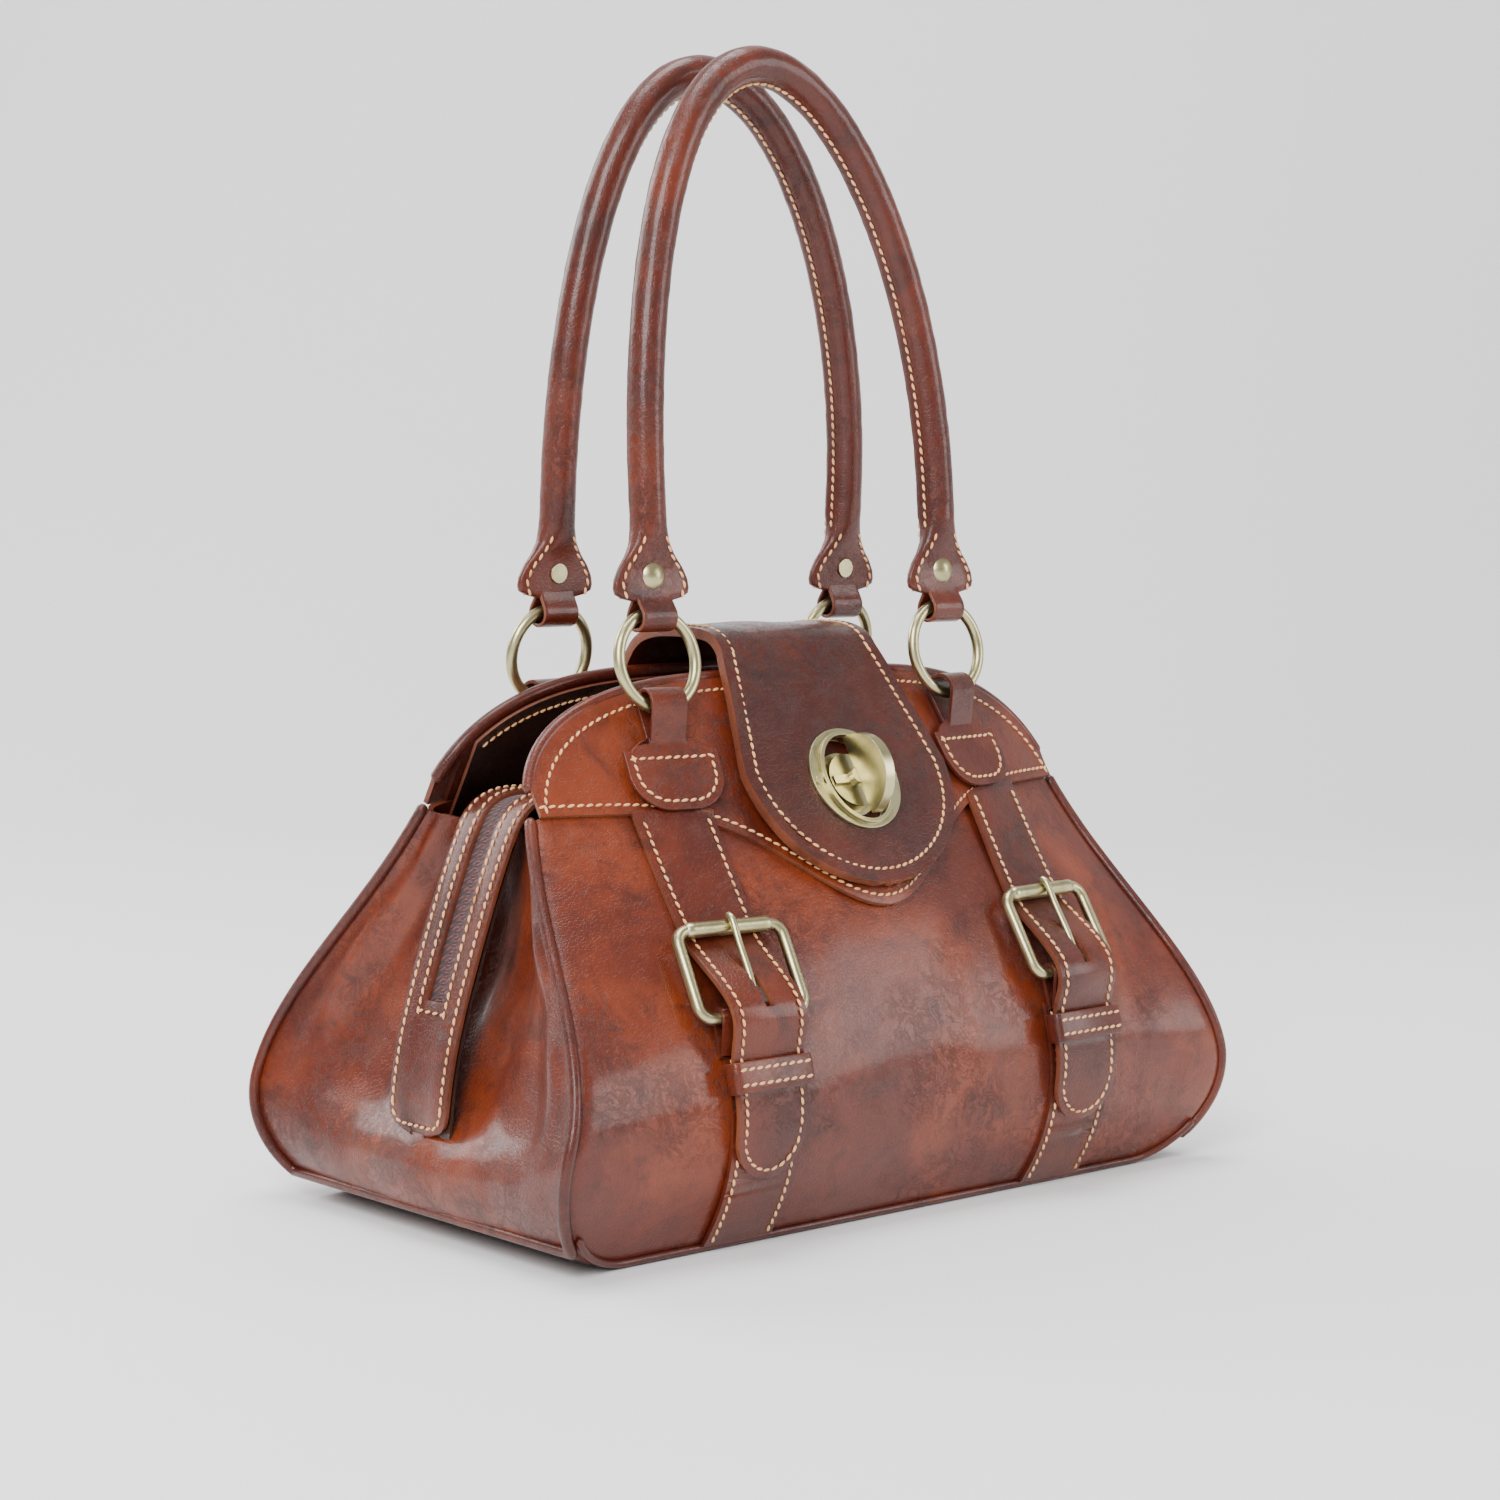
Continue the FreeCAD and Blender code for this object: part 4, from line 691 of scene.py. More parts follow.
base = hide_sheet("base_hide", base_rows(), leather, Vector((0, 0, -1)), (trim_hide, cut_edge))
seat_on(base, "bag", "body_leather", "base_panel")
edge_cords = []
edge_end_angle = -math.radians(38.0)
for face in (front, back):
    corner = [(corner_centre_x + (corner_radius - 0.0022) * math.cos(angle),
               corner_radius + (corner_radius - 0.0022) * math.sin(angle))
              for angle in spread(-math.pi / 2, edge_end_angle, 16)[1:]]
    route = [(-x, level) for x, level in reversed(corner)]
    route += [(x, 0.0022) for x in spread(-corner_centre_x, corner_centre_x, 60)] + corner
    line = [skin(x, level, 0.0006, face) for x, level in route]
    edge_cords.append(cord_tube("edge_cord", line, 0.0014, (trim_hide,), sides=10))
seat_on(joined("base_edge_cords", edge_cords), "bag", "trim_leather", "base_edges")

# ---- yokes and collars -----------------------------------------------------------------------
# A second layer of hide crosses the top of each face. Its wavy lower edge is cut raw and stitched
# down; its arched top is turned over a cord, with a dark facing and a row of stitches inside.

stitch_inset = 0.0030


def band_rows(low_edge, high_edge, end_share, lift, face, row_count, column_count, dent=0.0):
    reach = shoulder_half_width * end_share
    rows = []
    for climb in spread(0, 1, row_count):
        row = []
        for angle in spread(-math.pi / 2, math.pi / 2, column_count):
            x = reach * math.sin(angle)
            level = low_edge(x) + (high_edge(x) - low_edge(x)) * climb
            relief = 0.0
            if dent:
                relief = soft_relief(Vector((x, face * 0.2, level)), dent) * math.sin(math.pi * climb)
            row.append(skin(x, level, lift + relief, face))
        rows.append(row)
    return rows


yoke_lift = seat + leather
facing_lift = -leather - seat - 0.0014
for face in (front, back):
    name = face_names[face]
    yoke_rows = band_rows(yoke_low_edge, yoke_top_edge, 0.985, yoke_lift, face, 22, 91, 0.0007)
    yoke = hide_sheet(f"{name}_yoke_hide", yoke_rows, leather,
                      Vector((0, face, 0.3)), (body_hide, cut_edge), edge_round=0.3)
    seat_on(yoke, "bag", "body_leather", f"{name}_yoke")
    facing_rows = band_rows(lambda x: min(0.138, yoke_top_edge(x) - seat), yoke_top_edge, 0.9, facing_lift,
                            face, 12, 51)
    facing = hide_sheet(f"{name}_facing_hide", facing_rows, 0.0014,
                        Vector((0, -face, -0.3)), (facing_hide, cut_edge), edge_round=0.2)
    # the grid's own face is the hidden one, so the sheet grows back towards the board
    seat_on(facing, "bag", "facing_leather", f"{name}_yoke_facing")
    line = []
    for angle in spread(-math.pi / 2, math.pi / 2, 120):
        x = shoulder_half_width * 0.985 * math.sin(angle)
        line.append(skin(x, yoke_top_edge(x), -0.0002, face) + Vector((0, 0, 0.0011)))
    rim = cord_tube(f"{name}_collar_roll", line, 0.0024, (trim_hide,), sides=16)
    seat_on(rim, "bag", "trim_leather", f"{name}_collar_edge")
    low_route = [(x, yoke_low_edge(x) + stitch_inset) for x in spread(-0.1215, 0.1215, 140)]
    stitch_on_skin("bag", low_route, yoke_lift, face)
    top_route = []
    for angle in spread(-math.pi / 2 + 0.10, math.pi / 2 - 0.10, 140):
        x = (shoulder_half_width - 0.0035) * math.sin(angle)
        top_route.append((x, yoke_top_edge(x / 0.972) - 0.0042))
    top_route = [(x, level) for x, level in top_route if level > yoke_low_edge(x) + 0.002]
    stitch_on_skin("bag", top_route, yoke_lift, face)
    inner_route = []
    for angle in spread(-math.pi / 2 + 0.2, math.pi / 2 - 0.2, 120):
        x = shoulder_half_width * 0.88 * math.sin(angle)
        inner_route.append((x, yoke_top_edge(x) - 0.0042))
    inner_points = [skin(x, level, facing_lift, face) for x, level in inner_route]
    inner_normals = [-skin_normal(x, level, face) for x, level in inner_route]
    stitch_line("bag", inner_points, inner_normals)

# ---- recessed zip ----------------------------------------------------------------------------
# A leather band runs level between the collars and hangs down both ends as a long tail. A nylon
# coil zip is sewn behind its slot, with two rows of stitches on each side and round the tails.


def first_hit(node_name):
    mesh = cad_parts[node_name].data
    mesh.calc_loop_triangles()
    tree = BVHTree.FromPolygons([vert.co for vert in mesh.vertices],
                                [tuple(triangle.vertices) for triangle in mesh.loop_triangles])

    def cast(origin, direction):
        return tree.ray_cast(Vector(origin), Vector(direction).normalized())[0]

    return cast


band_width = 0.034
band_thickness = 0.0016
slot_half = 0.0050
tail_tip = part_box("zip_band")[0].z
band_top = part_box("zip_band")[1].z


def band_profile():
    # the band's outer line in XZ, read off its solid from the middle to the right tail's end
    cast = first_hit("zip_band")
    centre = Vector((0.085, 0.010, 0.092))
    line = [Vector((x, 0.0, band_top)) for x in spread(0.0, 0.080, 12)]
    for angle in spread(math.pi / 2, -0.80, 90):
        toward = Vector((math.cos(angle), 0.0, math.sin(angle)))
        hit = cast(centre + toward * 0.3, -toward)
        if hit is not None and hit.x > 0.08 and hit.z > tail_tip + 0.001:
            line.append(Vector((hit.x, 0.0, hit.z)))
    return line


def evenly(points, step):
    # the same line with its points a fixed distance apart
    travelled = [0.0]
    for before, after in zip(points, points[1:]):
        travelled.append(travelled[-1] + (after - before).length)
    count = max(2, round(travelled[-1] / step) + 1)
    even = []
    segment = 0
    for target in spread(0.0, travelled[-1], count):
        while segment < len(points) - 2 and travelled[segment + 1] < target:
            segment += 1
        span = travelled[segment + 1] - travelled[segment]
        share = (target - travelled[segment]) / span if span else 0.0
        even.append(points[segment].lerp(points[segment + 1], min(max(share, 0.0), 1.0)))
    return even


def smoothed(points, passes):
    for _ in range(passes):
        points = [points[0]] + [(a + b * 2 + c) / 4 for a, b, c in zip(points, points[1:], points[2:])] + [points[-1]]
    return points


right_profile = smoothed(evenly(band_profile(), 0.0025), 4)
whole_profile = [Vector((-point.x, 0, point.z)) for point in reversed(right_profile)] + right_profile[1:]
whole_profile = evenly(whole_profile, 0.0020)


def profile_normal(index):
    along = whole_profile[min(index + 1, len(whole_profile) - 1)] - whole_profile[max(index - 1, 0)]
    return Vector((-along.z, 0.0, along.x)).normalized()


slot_first = next(i for i, point in enumerate(whole_profile) if point.z > 0.081)
slot_last = len(whole_profile) - 1 - slot_first
tail_round = 0.009


def band_half_width(index):
    from_end = min(index, len(whole_profile) - 1 - index) * 0.0020
    half = band_width / 2
    if from_end < tail_round:
        share = 1 - from_end / tail_round
        return half - tail_round * (1 - math.sqrt(max(1 - share ** 2, 0.0)))
    return half


band_columns = [-1.0, -0.93, -0.8, -0.65, -0.5, -0.36, -slot_half / 0.017, 0.0]
band_columns = band_columns + [-share for share in reversed(band_columns[:-1])]
slot_columns = (band_columns.index(-slot_half / 0.017), band_columns.index(slot_half / 0.017) - 1)


def zip_band_rows():
    rows = []
    for index, point in enumerate(whole_profile):
        normal = profile_normal(index)
        half = band_half_width(index)
        row = []
        for share in band_columns:
            puff = 0.0005 * math.sin(math.pi * min(max((abs(share) - 0.29) / 0.71, 0.0), 1.0))
            wander = 0.0004 * noise.noise(Vector((index * 0.06, share * 0.3, 2.0)))
            y = share * half if abs(share) > 0.31 else share * band_width / 2
            row.append(point + normal * puff + Vector((0, y + wander, 0)))
        rows.append(row)
    return rows


zip_leather = hide_sheet("zip_band_hide", zip_band_rows(), band_thickness, lambda point: Vector((0, 0, 1)),
                         (trim_hide, cut_edge),
                         missing=lambda r, c: slot_first <= r < slot_last and slot_columns[0] <= c <= slot_columns[1])
seat_on(zip_leather, "bag", "trim_leather", "zip_band")
def tail_place(from_end, y, end):
    # a place on the band at a distance from one end of it
    steps = from_end / 0.0020
    low_index = min(int(steps), len(whole_profile) - 2)
    index = low_index if end < 0 else len(whole_profile) - 1 - low_index
    beside = index - end
    point = whole_profile[index].lerp(whole_profile[beside], steps - low_index)
    normal = profile_normal(index)
    return point + normal * 0.0004 + Vector((0, y, 0)), normal


for side in (left, right):
    for offset in (0.0076, 0.0142):
        points = []
        normals = []
        for index in range(len(whole_profile)):
            if offset > 0.01 and not 5 <= index < len(whole_profile) - 5:
                continue
            if offset < 0.01 and not slot_first - 2 <= index <= slot_last + 2:
                continue
            half = min(offset, band_half_width(index) - 0.0028)
            points.append(whole_profile[index] + profile_normal(index) * 0.0004 + Vector((0, side * half, 0)))
            normals.append(profile_normal(index))
        stitch_line("bag", points, normals)
for end in (-1, 1):
    inset = 0.0028
    bend = tail_round - inset
    side_y = band_width / 2 - tail_round
    corner = [(tail_round - bend * math.sin(angle), side_y + bend * math.cos(angle))
              for angle in spread(0, math.pi / 2, 12)]
    route = corner + [(from_end, -y) for from_end, y in reversed(corner)]
    placed = [tail_place(from_end, y, end) for from_end, y in route]
    stitch_line("bag", [point for point, _ in placed], [normal for _, normal in placed])
for index in (slot_first - 2, slot_last + 2):
    stitch_line("bag", [whole_profile[index] + profile_normal(index) * 0.0003 + Vector((0, y, 0))
                        for y in spread(-0.0066, 0.0066, 6)], [profile_normal(index)] * 6)


def woven_material(name, colour, dark, scale, lift):
    # two crossed waves make a fine twill; its gaps are painted in the dark tone as shade
    material, nodes, links, shader = principled(name)
    place = nodes.new("ShaderNodeTexCoord").outputs["Object"]
    tree = material.node_tree
    heights = []
    for direction, factor in (("X", 1.0), ("DIAGONAL", 0.8)):
        wave = nodes.new("ShaderNodeTexWave")
        wave.bands_direction = direction
        wave.inputs["Scale"].default_value = scale * factor
        wave.inputs["Distortion"].default_value = 0.6
        links.new(place, wave.inputs["Vector"])
        heights.append(wave.outputs["Fac"])
    weave = math_node(tree, "MULTIPLY", heights[0], heights[1])
    # painted shade: the weave's low gaps take the dark tone
    twill_painted_gap_shade = colour_mix(tree, map_range(tree, weave, 0.0, 0.5), dark + (1.0,), colour + (1.0,))
    relief = nodes.new("ShaderNodeBump")
    relief.inputs["Distance"].default_value = lift
    links.new(weave, relief.inputs["Height"])
    links.new(relief.outputs["Normal"], shader.inputs["Normal"])
    links.new(twill_painted_gap_shade, shader.inputs["Base Color"])
    shader.inputs["Roughness"].default_value = 0.75
    shader.inputs["Sheen Weight"].default_value = 0.25
    return material


# the second colour of each cloth is the painted shade in its weave gaps
tape_cloth = woven_material("zip_tape_cloth", (0.075, 0.014, 0.014), (0.020, 0.004, 0.005), 260.0, 0.0002)
lining_cloth = woven_material("lining_cloth", (0.16, 0.10, 0.06), (0.06, 0.035, 0.02), 180.0, 0.0002)


def nylon_material():
    material, nodes, links, shader = principled("nylon_coil")
    place = nodes.new("ShaderNodeTexCoord").outputs["Object"]
    tree = material.node_tree
    tone = colour_mix(tree, noise_node(tree, place, 300.0), (0.060, 0.013, 0.014, 1.0), (0.115, 0.030, 0.028, 1.0))
    links.new(tone, shader.inputs["Base Color"])
    shader.inputs["Roughness"].default_value = 0.35
    return material


coil_nylon = nylon_material()


def small_capsule(name, length, radius, sides, rings, bow):
    # a short rounded bar along X that arches upwards by bow
    verts = []
    faces = []
    for ring in range(rings):
        share = ring / (rings - 1)
        x = (share - 0.5) * length
        size = radius * math.sqrt(max(1 - abs(2 * share - 1) ** 4, 0.05))
        rise = bow * (1 - (2 * share - 1) ** 2)
        for turn in range(sides):
            angle = 2 * math.pi * turn / sides
            verts.append((x, math.cos(angle) * size, math.sin(angle) * size + rise))
    for ring in range(rings - 1):
        for turn in range(sides):
            beside = (turn + 1) % sides
            faces.append((ring * sides + turn, (ring + 1) * sides + turn,
                          (ring + 1) * sides + beside, ring * sides + beside))
    faces.append(tuple(reversed(range(sides)))[::-1])
    faces.append(tuple(range((rings - 1) * sides, rings * sides))[::-1])
    mesh = bpy.data.meshes.new(name)
    mesh.from_pydata(verts, [], faces)
    tidy = bmesh.new()
    tidy.from_mesh(mesh)
    bmesh.ops.recalc_face_normals(tidy, faces=tidy.faces)
    tidy.to_mesh(mesh)
    tidy.free()
    for polygon in mesh.polygons:
        polygon.use_smooth = True
    item = bpy.data.objects.new(name, mesh)
    scene.collection.objects.link(item)
    return item


def row_tree(name):
    # geometry nodes: one item repeated along each line, turned to the line and to its "out" direction
    tree = bpy.data.node_groups.new(name, "GeometryNodeTree")
    tree.interface.new_socket(name="Lines", in_out="INPUT", socket_type="NodeSocketGeometry")
    for socket_name, kind in (("Item", "NodeSocketObject"), ("Pitch", "NodeSocketFloat"),
                              ("Slant", "NodeSocketFloat"), ("Waver", "NodeSocketFloat"),
                              ("Seed", "NodeSocketInt"), ("Material", "NodeSocketMaterial")):
        tree.interface.new_socket(name=socket_name, in_out="INPUT", socket_type=kind)
    tree.interface.new_socket(name="Row", in_out="OUTPUT", socket_type="NodeSocketGeometry")
    nodes = tree.nodes
    links = tree.links
    inputs = nodes.new("NodeGroupInput")
    outputs = nodes.new("NodeGroupOutput")
    curve = nodes.new("GeometryNodeMeshToCurve")
    links.new(inputs.outputs["Lines"], curve.inputs["Mesh"])
    even = nodes.new("GeometryNodeResampleCurve")
    even.mode = "LENGTH"
    links.new(curve.outputs["Curve"], even.inputs["Curve"])
    links.new(inputs.outputs["Pitch"], even.inputs["Length"])
    item = nodes.new("GeometryNodeObjectInfo")
    links.new(inputs.outputs["Item"], item.inputs["Object"])
    tangent = nodes.new("GeometryNodeInputTangent")
    out = nodes.new("GeometryNodeInputNamedAttribute")
    out.data_type = "FLOAT_VECTOR"
    out.inputs["Name"].default_value = "out"
    along = nodes.new("FunctionNodeAlignRotationToVector")
    along.axis = "X"
    links.new(tangent.outputs["Tangent"], along.inputs["Vector"])
    upright = nodes.new("FunctionNodeAlignRotationToVector")
    upright.axis = "Z"
    upright.pivot_axis = "X"
    links.new(along.outputs["Rotation"], upright.inputs["Rotation"])
    links.new(out.outputs["Attribute"], upright.inputs["Vector"])
    vary = nodes.new("FunctionNodeRandomValue")
    vary.data_type = "FLOAT"
    scale_low = nodes.new("ShaderNodeMath")
    scale_low.operation = "MULTIPLY"
    scale_low.inputs[1].default_value = -1.0
    links.new(inputs.outputs["Waver"], scale_low.inputs[0])
    float_sockets = [socket for socket in vary.inputs if socket.name in ("Min", "Max") and socket.type == "VALUE"]
    links.new(scale_low.outputs[0], float_sockets[0])
    links.new(inputs.outputs["Waver"], float_sockets[1])
    links.new(inputs.outputs["Seed"], vary.inputs["Seed"])
    random_value = next(socket for socket in vary.outputs if socket.type == "VALUE" and socket.enabled)
    turn_sum = nodes.new("ShaderNodeMath")
    turn_sum.operation = "ADD"
    links.new(inputs.outputs["Slant"], turn_sum.inputs[0])
    links.new(random_value, turn_sum.inputs[1])
    slant = nodes.new("ShaderNodeCombineXYZ")
    links.new(turn_sum.outputs[0], slant.inputs["Z"])
    to_turn = nodes.new("FunctionNodeEulerToRotation")
    links.new(slant.outputs[0], to_turn.inputs[0])
    turned = nodes.new("FunctionNodeRotateRotation")
    turned.rotation_space = "LOCAL"
    links.new(upright.outputs["Rotation"], turned.inputs[0])
    links.new(to_turn.outputs[0], turned.inputs[1])
    repeat = nodes.new("GeometryNodeInstanceOnPoints")
    links.new(even.outputs["Curve"], repeat.inputs["Points"])
    links.new(item.outputs["Geometry"], repeat.inputs["Instance"])
    links.new(turned.outputs[0], repeat.inputs["Rotation"])
    real = nodes.new("GeometryNodeRealizeInstances")
    links.new(repeat.outputs["Instances"], real.inputs["Geometry"])
    paint = nodes.new("GeometryNodeSetMaterial")
    links.new(real.outputs["Geometry"], paint.inputs["Geometry"])
    links.new(inputs.outputs["Material"], paint.inputs["Material"])
    links.new(paint.outputs["Geometry"], outputs.inputs["Row"])
    return tree


repeat_along = row_tree("repeat_along")


def repeated_row(name, lines, item, pitch, material, slant=0.0, waver=0.0):
    # lines: (points, out directions); the result is one plain mesh
    verts = []
    edges = []
    outs = []
    for points, normals in lines:
        start = len(verts)
        verts += [tuple(point) for point in points]
        outs += [component for normal in normals for component in normal]
        edges += [(start + step, start + step + 1) for step in range(len(points) - 1)]
    mesh = bpy.data.meshes.new(name)
    mesh.from_pydata(verts, edges, [])
    mesh.attributes.new("out", "FLOAT_VECTOR", "POINT").data.foreach_set("vector", outs)
    row = bpy.data.objects.new(name, mesh)
    scene.collection.objects.link(row)
    modifier = row.modifiers.new("repeat", "NODES")
    modifier.node_group = repeat_along
    values = {"Item": item, "Pitch": pitch, "Slant": slant, "Waver": waver, "Seed": 11, "Material": material}
    for socket in repeat_along.interface.items_tree:
        if socket.item_type == "SOCKET" and socket.in_out == "INPUT" and socket.name in values:
            modifier[socket.identifier] = values[socket.name]
    row.update_tag()
    apply_modifiers(row)
    row.data.name = name
    return row


coil_bar = small_capsule("coil_bar", 0.0011, 0.0011, 6, 4, 0.0)
for vert in coil_bar.data.vertices:
    vert.co = Vector((vert.co.x * 0.75, vert.co.y * 2.3, vert.co.z * 0.55))
coil_depth = 0.0021
coil_points = [whole_profile[index] - profile_normal(index) * coil_depth
               for index in range(slot_first - 1, slot_last + 2)]
coil_normals = [profile_normal(index) for index in range(slot_first - 1, slot_last + 2)]
coil = repeated_row("coil_zip", [(coil_points, coil_normals)], coil_bar, 0.00125, coil_nylon, slant=0.18)
seat_on(coil, "bag", "zip_coil", "zip_coils")
bpy.data.objects.remove(coil_bar)

# ---- what the collars hide -------------------------------------------------------------------
# Tapes, stiff boards, the cloth lining and the strips behind the zip keep the frame's own shapes.


def repaint(node_name, material):
    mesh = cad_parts[node_name].data
    mesh.materials.clear()
    mesh.materials.append(material)
    for polygon in mesh.polygons:
        polygon.material_index = 0


def board_material():
    material, nodes, links, shader = principled("pressed_board")
    tree = material.node_tree
    place = nodes.new("ShaderNodeTexCoord").outputs["Object"]
    tone = colour_mix(tree, noise_node(tree, place, 400.0), (0.20, 0.16, 0.11, 1.0), (0.34, 0.28, 0.20, 1.0))
    links.new(tone, shader.inputs["Base Color"])
    shader.inputs["Roughness"].default_value = 0.9
    return material


pressed_board = board_material()
repaint("zip_tapes", tape_cloth)
repaint("lining", lining_cloth)
repaint("base_board", pressed_board)
repaint("collar_boards", trim_hide)
repaint("zip_panels", facing_hide)
repaint("zip_tail_backings", facing_hide)
for name in ("front", "back"):
    repaint(f"handle_{name}_core", lining_cloth)

# ---- brass fittings --------------------------------------------------------------------------
# Cast and turned fittings in pale antique brass: greenish gold, brushed, darker in the hollows and
# rubbed bright on the edges.


def brass_material():
    material, nodes, links, shader = principled("antique_brass")
    tree = material.node_tree
    place = nodes.new("ShaderNodeTexCoord").outputs["Object"]
    cloud = noise_node(tree, place, 90.0, 4.0, 0.6, 0.4)
    speck = noise_node(tree, place, 700.0, 2.0)
    tone = colour_mix(tree, map_range(tree, cloud, 0.40, 0.66), (0.46, 0.41, 0.215, 1.0), (0.30, 0.265, 0.125, 1.0))
    worn = nodes.new("ShaderNodeNewGeometry").outputs["Pointiness"]
    bright = map_range(tree, worn, 0.50, 0.56)
    hollow = map_range(tree, worn, 0.49, 0.44)
    tone = colour_mix(tree, math_node(tree, "MULTIPLY", bright, 0.55), tone, (0.72, 0.67, 0.42, 1.0))
    tone = colour_mix(tree, math_node(tree, "MULTIPLY", hollow, 0.6), tone, (0.10, 0.085, 0.04, 1.0))
    rough = math_node(tree, "ADD", 0.24, math_node(tree, "MULTIPLY", cloud, 0.18))
    relief = nodes.new("ShaderNodeBump")
    relief.inputs["Distance"].default_value = 0.00004
    links.new(speck, relief.inputs["Height"])
    links.new(relief.outputs["Normal"], shader.inputs["Normal"])
    links.new(tone, shader.inputs["Base Color"])
    links.new(rough, shader.inputs["Roughness"])
    shader.inputs["Metallic"].default_value = 1.0
    return material


brass = brass_material()


def softened_copy(name, node_name, material, width, segments=3, angle=35.0):
    # the solid's own shape, welded, with its edges rounded as a cast or skived edge is
    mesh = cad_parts[node_name].data.copy()
    mesh.name = name
    mesh.materials.clear()
    mesh.materials.append(material)
    weld = bmesh.new()
    weld.from_mesh(mesh)
    bmesh.ops.remove_doubles(weld, verts=weld.verts, dist=0.000004)
    bmesh.ops.dissolve_limit(weld, angle_limit=math.radians(1.0), verts=weld.verts, edges=weld.edges)
    for face_item in weld.faces:
        face_item.smooth = True
        face_item.material_index = 0
    weld.to_mesh(mesh)
    weld.free()
    for attribute in ("custom_normal", "sharp_face", "sharp_edge"):
        if attribute in mesh.attributes:
            mesh.attributes.remove(mesh.attributes[attribute])
    piece = bpy.data.objects.new(name, mesh)
    scene.collection.objects.link(piece)
    bevel = piece.modifiers.new("soft_edge", "BEVEL")
    bevel.width = width
    bevel.segments = segments
    bevel.limit_method = "ANGLE"
    bevel.angle_limit = math.radians(angle)
    weighted = piece.modifiers.new("even_shade", "WEIGHTED_NORMAL")
    weighted.keep_sharp = False
    return apply_modifiers(piece)


for name, node_name, body, width in (
        ("slider", "zip_slider", "zip_slider", 0.0004),
        ("slider_pull", "zip_pull", "zip_pull", 0.0003),
        ("turn_lock_plate", "lock_plate", "flap", 0.0004),
        ("turn_lock_washer", "lock_washer", "flap", 0.0001),
        ("turn_lock_bolts", "lock_plate_bolts", "flap", 0.0004),
        ("turn_lock_base", "lock_base", "bag", 0.0003),
        ("turn_lock_knob", "lock_knob", "lock_knob", 0.0009),
        ("front_rivets", "handle_front_rivets", "handle_front", 0.0002),
        ("back_rivets", "handle_back_rivets", "handle_back", 0.0002)):
    seat_on(softened_copy(name, node_name, brass, width), body, "brass", node_name)

# ---- flap ------------------------------------------------------------------------------------
# Two layers of darker hide, stitched round the edge. It is sewn to the back yoke, passes over the
# collars in a soft crest, and its rounded front carries the lock plate.

flap_tilt = math.radians(58.5)
flap_up = Vector((0.0, math.cos(flap_tilt), math.sin(flap_tilt)))
flap_out = Vector((0.0, -math.sin(flap_tilt), math.cos(flap_tilt)))
flap_pivot = Vector((0.0, -0.0275, 0.2005))
flap_length = 0.095
flap_neck = 0.0375
flap_wide = 0.048
flap_end = 0.046
flap_thickness = 0.0037
flap_crest = 0.2085
lock_distance = 0.0545
opening_half = (0.0152, 0.0178)


def flap_line():
    lift = yoke_lift + 2 * seat + flap_thickness
    high = skin(0, collar_level, lift, back)
    low = skin(0, 0.151, lift, back)
    down = (low - high).normalized()
    back_bend = high + down * ((flap_crest - 0.004 - high.z) / down.z)
    corners = [low, back_bend, Vector((0, 0.008, flap_crest)), Vector((0, -0.012, flap_crest)),
               flap_pivot + flap_up * 0.007, flap_pivot - flap_up * 0.030]
    return smoothed(evenly(corners, 0.002), 16)


flap_stations = [(point, None) for point in flap_line()]
distances = spread(0.030, flap_length - flap_end, 10)[1:]
distances += [flap_length - flap_end + flap_end * math.sin(angle) for angle in spread(0, 1.545, 34)[1:]]
flap_stations += [(flap_pivot - flap_up * distance, distance) for distance in distances]


def flap_half_width(point):
    distance = (flap_pivot - point).dot(flap_up)
    if point.y > flap_pivot.y + 0.004 or distance < 0:
        rear_end = (point - flap_stations[0][0]).length
        if rear_end < 0.008 and point.y > 0:
            share = 1 - rear_end / 0.008
            return flap_neck - 0.008 * (1 - math.sqrt(max(1 - share ** 2, 0.0)))
        return flap_neck
    straight = flap_length - flap_end
    if distance <= straight:
        return flap_neck + (flap_wide - flap_neck) * distance / straight
    share = min((distance - straight) / flap_end, 1.0)
    return flap_wide * math.sqrt(max(1 - share ** 2, 0.0003))


flap_shares = [-1.0, -0.975, -0.94] + spread(-0.9, 0.9, 41) + [0.94, 0.975, 1.0]


def flap_surface(point, x, normal):
    # gentle unevenness, calm under the lock plate, drooping a little at the sides
    place = point + Vector((x, 0, 0))
    lock_gap = (place - (flap_pivot - flap_up * lock_distance)).length
    calm = min(max((lock_gap - 0.021) / 0.01, 0.0), 1.0)
    relief = 0.0006 * noise.noise(place * 45.0 + Vector((8.0, 0, 0))) * calm
    relief += 0.0003 * noise.noise(Vector((place.x * 160.0, place.y * 60.0, place.z * 60.0))) * calm
    return place + normal * (relief - 0.0004 * (abs(x) / flap_wide) ** 4)


def flap_rows():
    rows = []
    points = [point for point, _ in flap_stations]
    for index, point in enumerate(points):
        along = points[min(index + 1, len(points) - 1)] - points[max(index - 1, 0)]
        normal = along.cross(Vector((1, 0, 0))).normalized()
        half = flap_half_width(point)
        rows.append([flap_surface(point, share * half, normal) for share in flap_shares])
    return rows


flap_grid = flap_rows()


def over_lock_opening(r, c):
    middle = (flap_grid[r][c] + flap_grid[r + 1][c + 1]) / 2
    centre = flap_pivot - flap_up * lock_distance
    return (middle.x / opening_half[0]) ** 2 + ((middle - centre).dot(flap_up) / opening_half[1]) ** 2 < 1 \
        and (middle - centre).dot(flap_out) > -0.01 and middle.y < -0.03


flap = hide_sheet("flap_hide", flap_grid, flap_thickness, Vector((0, 0, 1)), (flap_hide, cut_edge),
                  missing=over_lock_opening, edge_round=0.3)
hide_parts("flap_outer", "flap_lining", "flap_rear_outer", "flap_rear_lining")
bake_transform(flap)


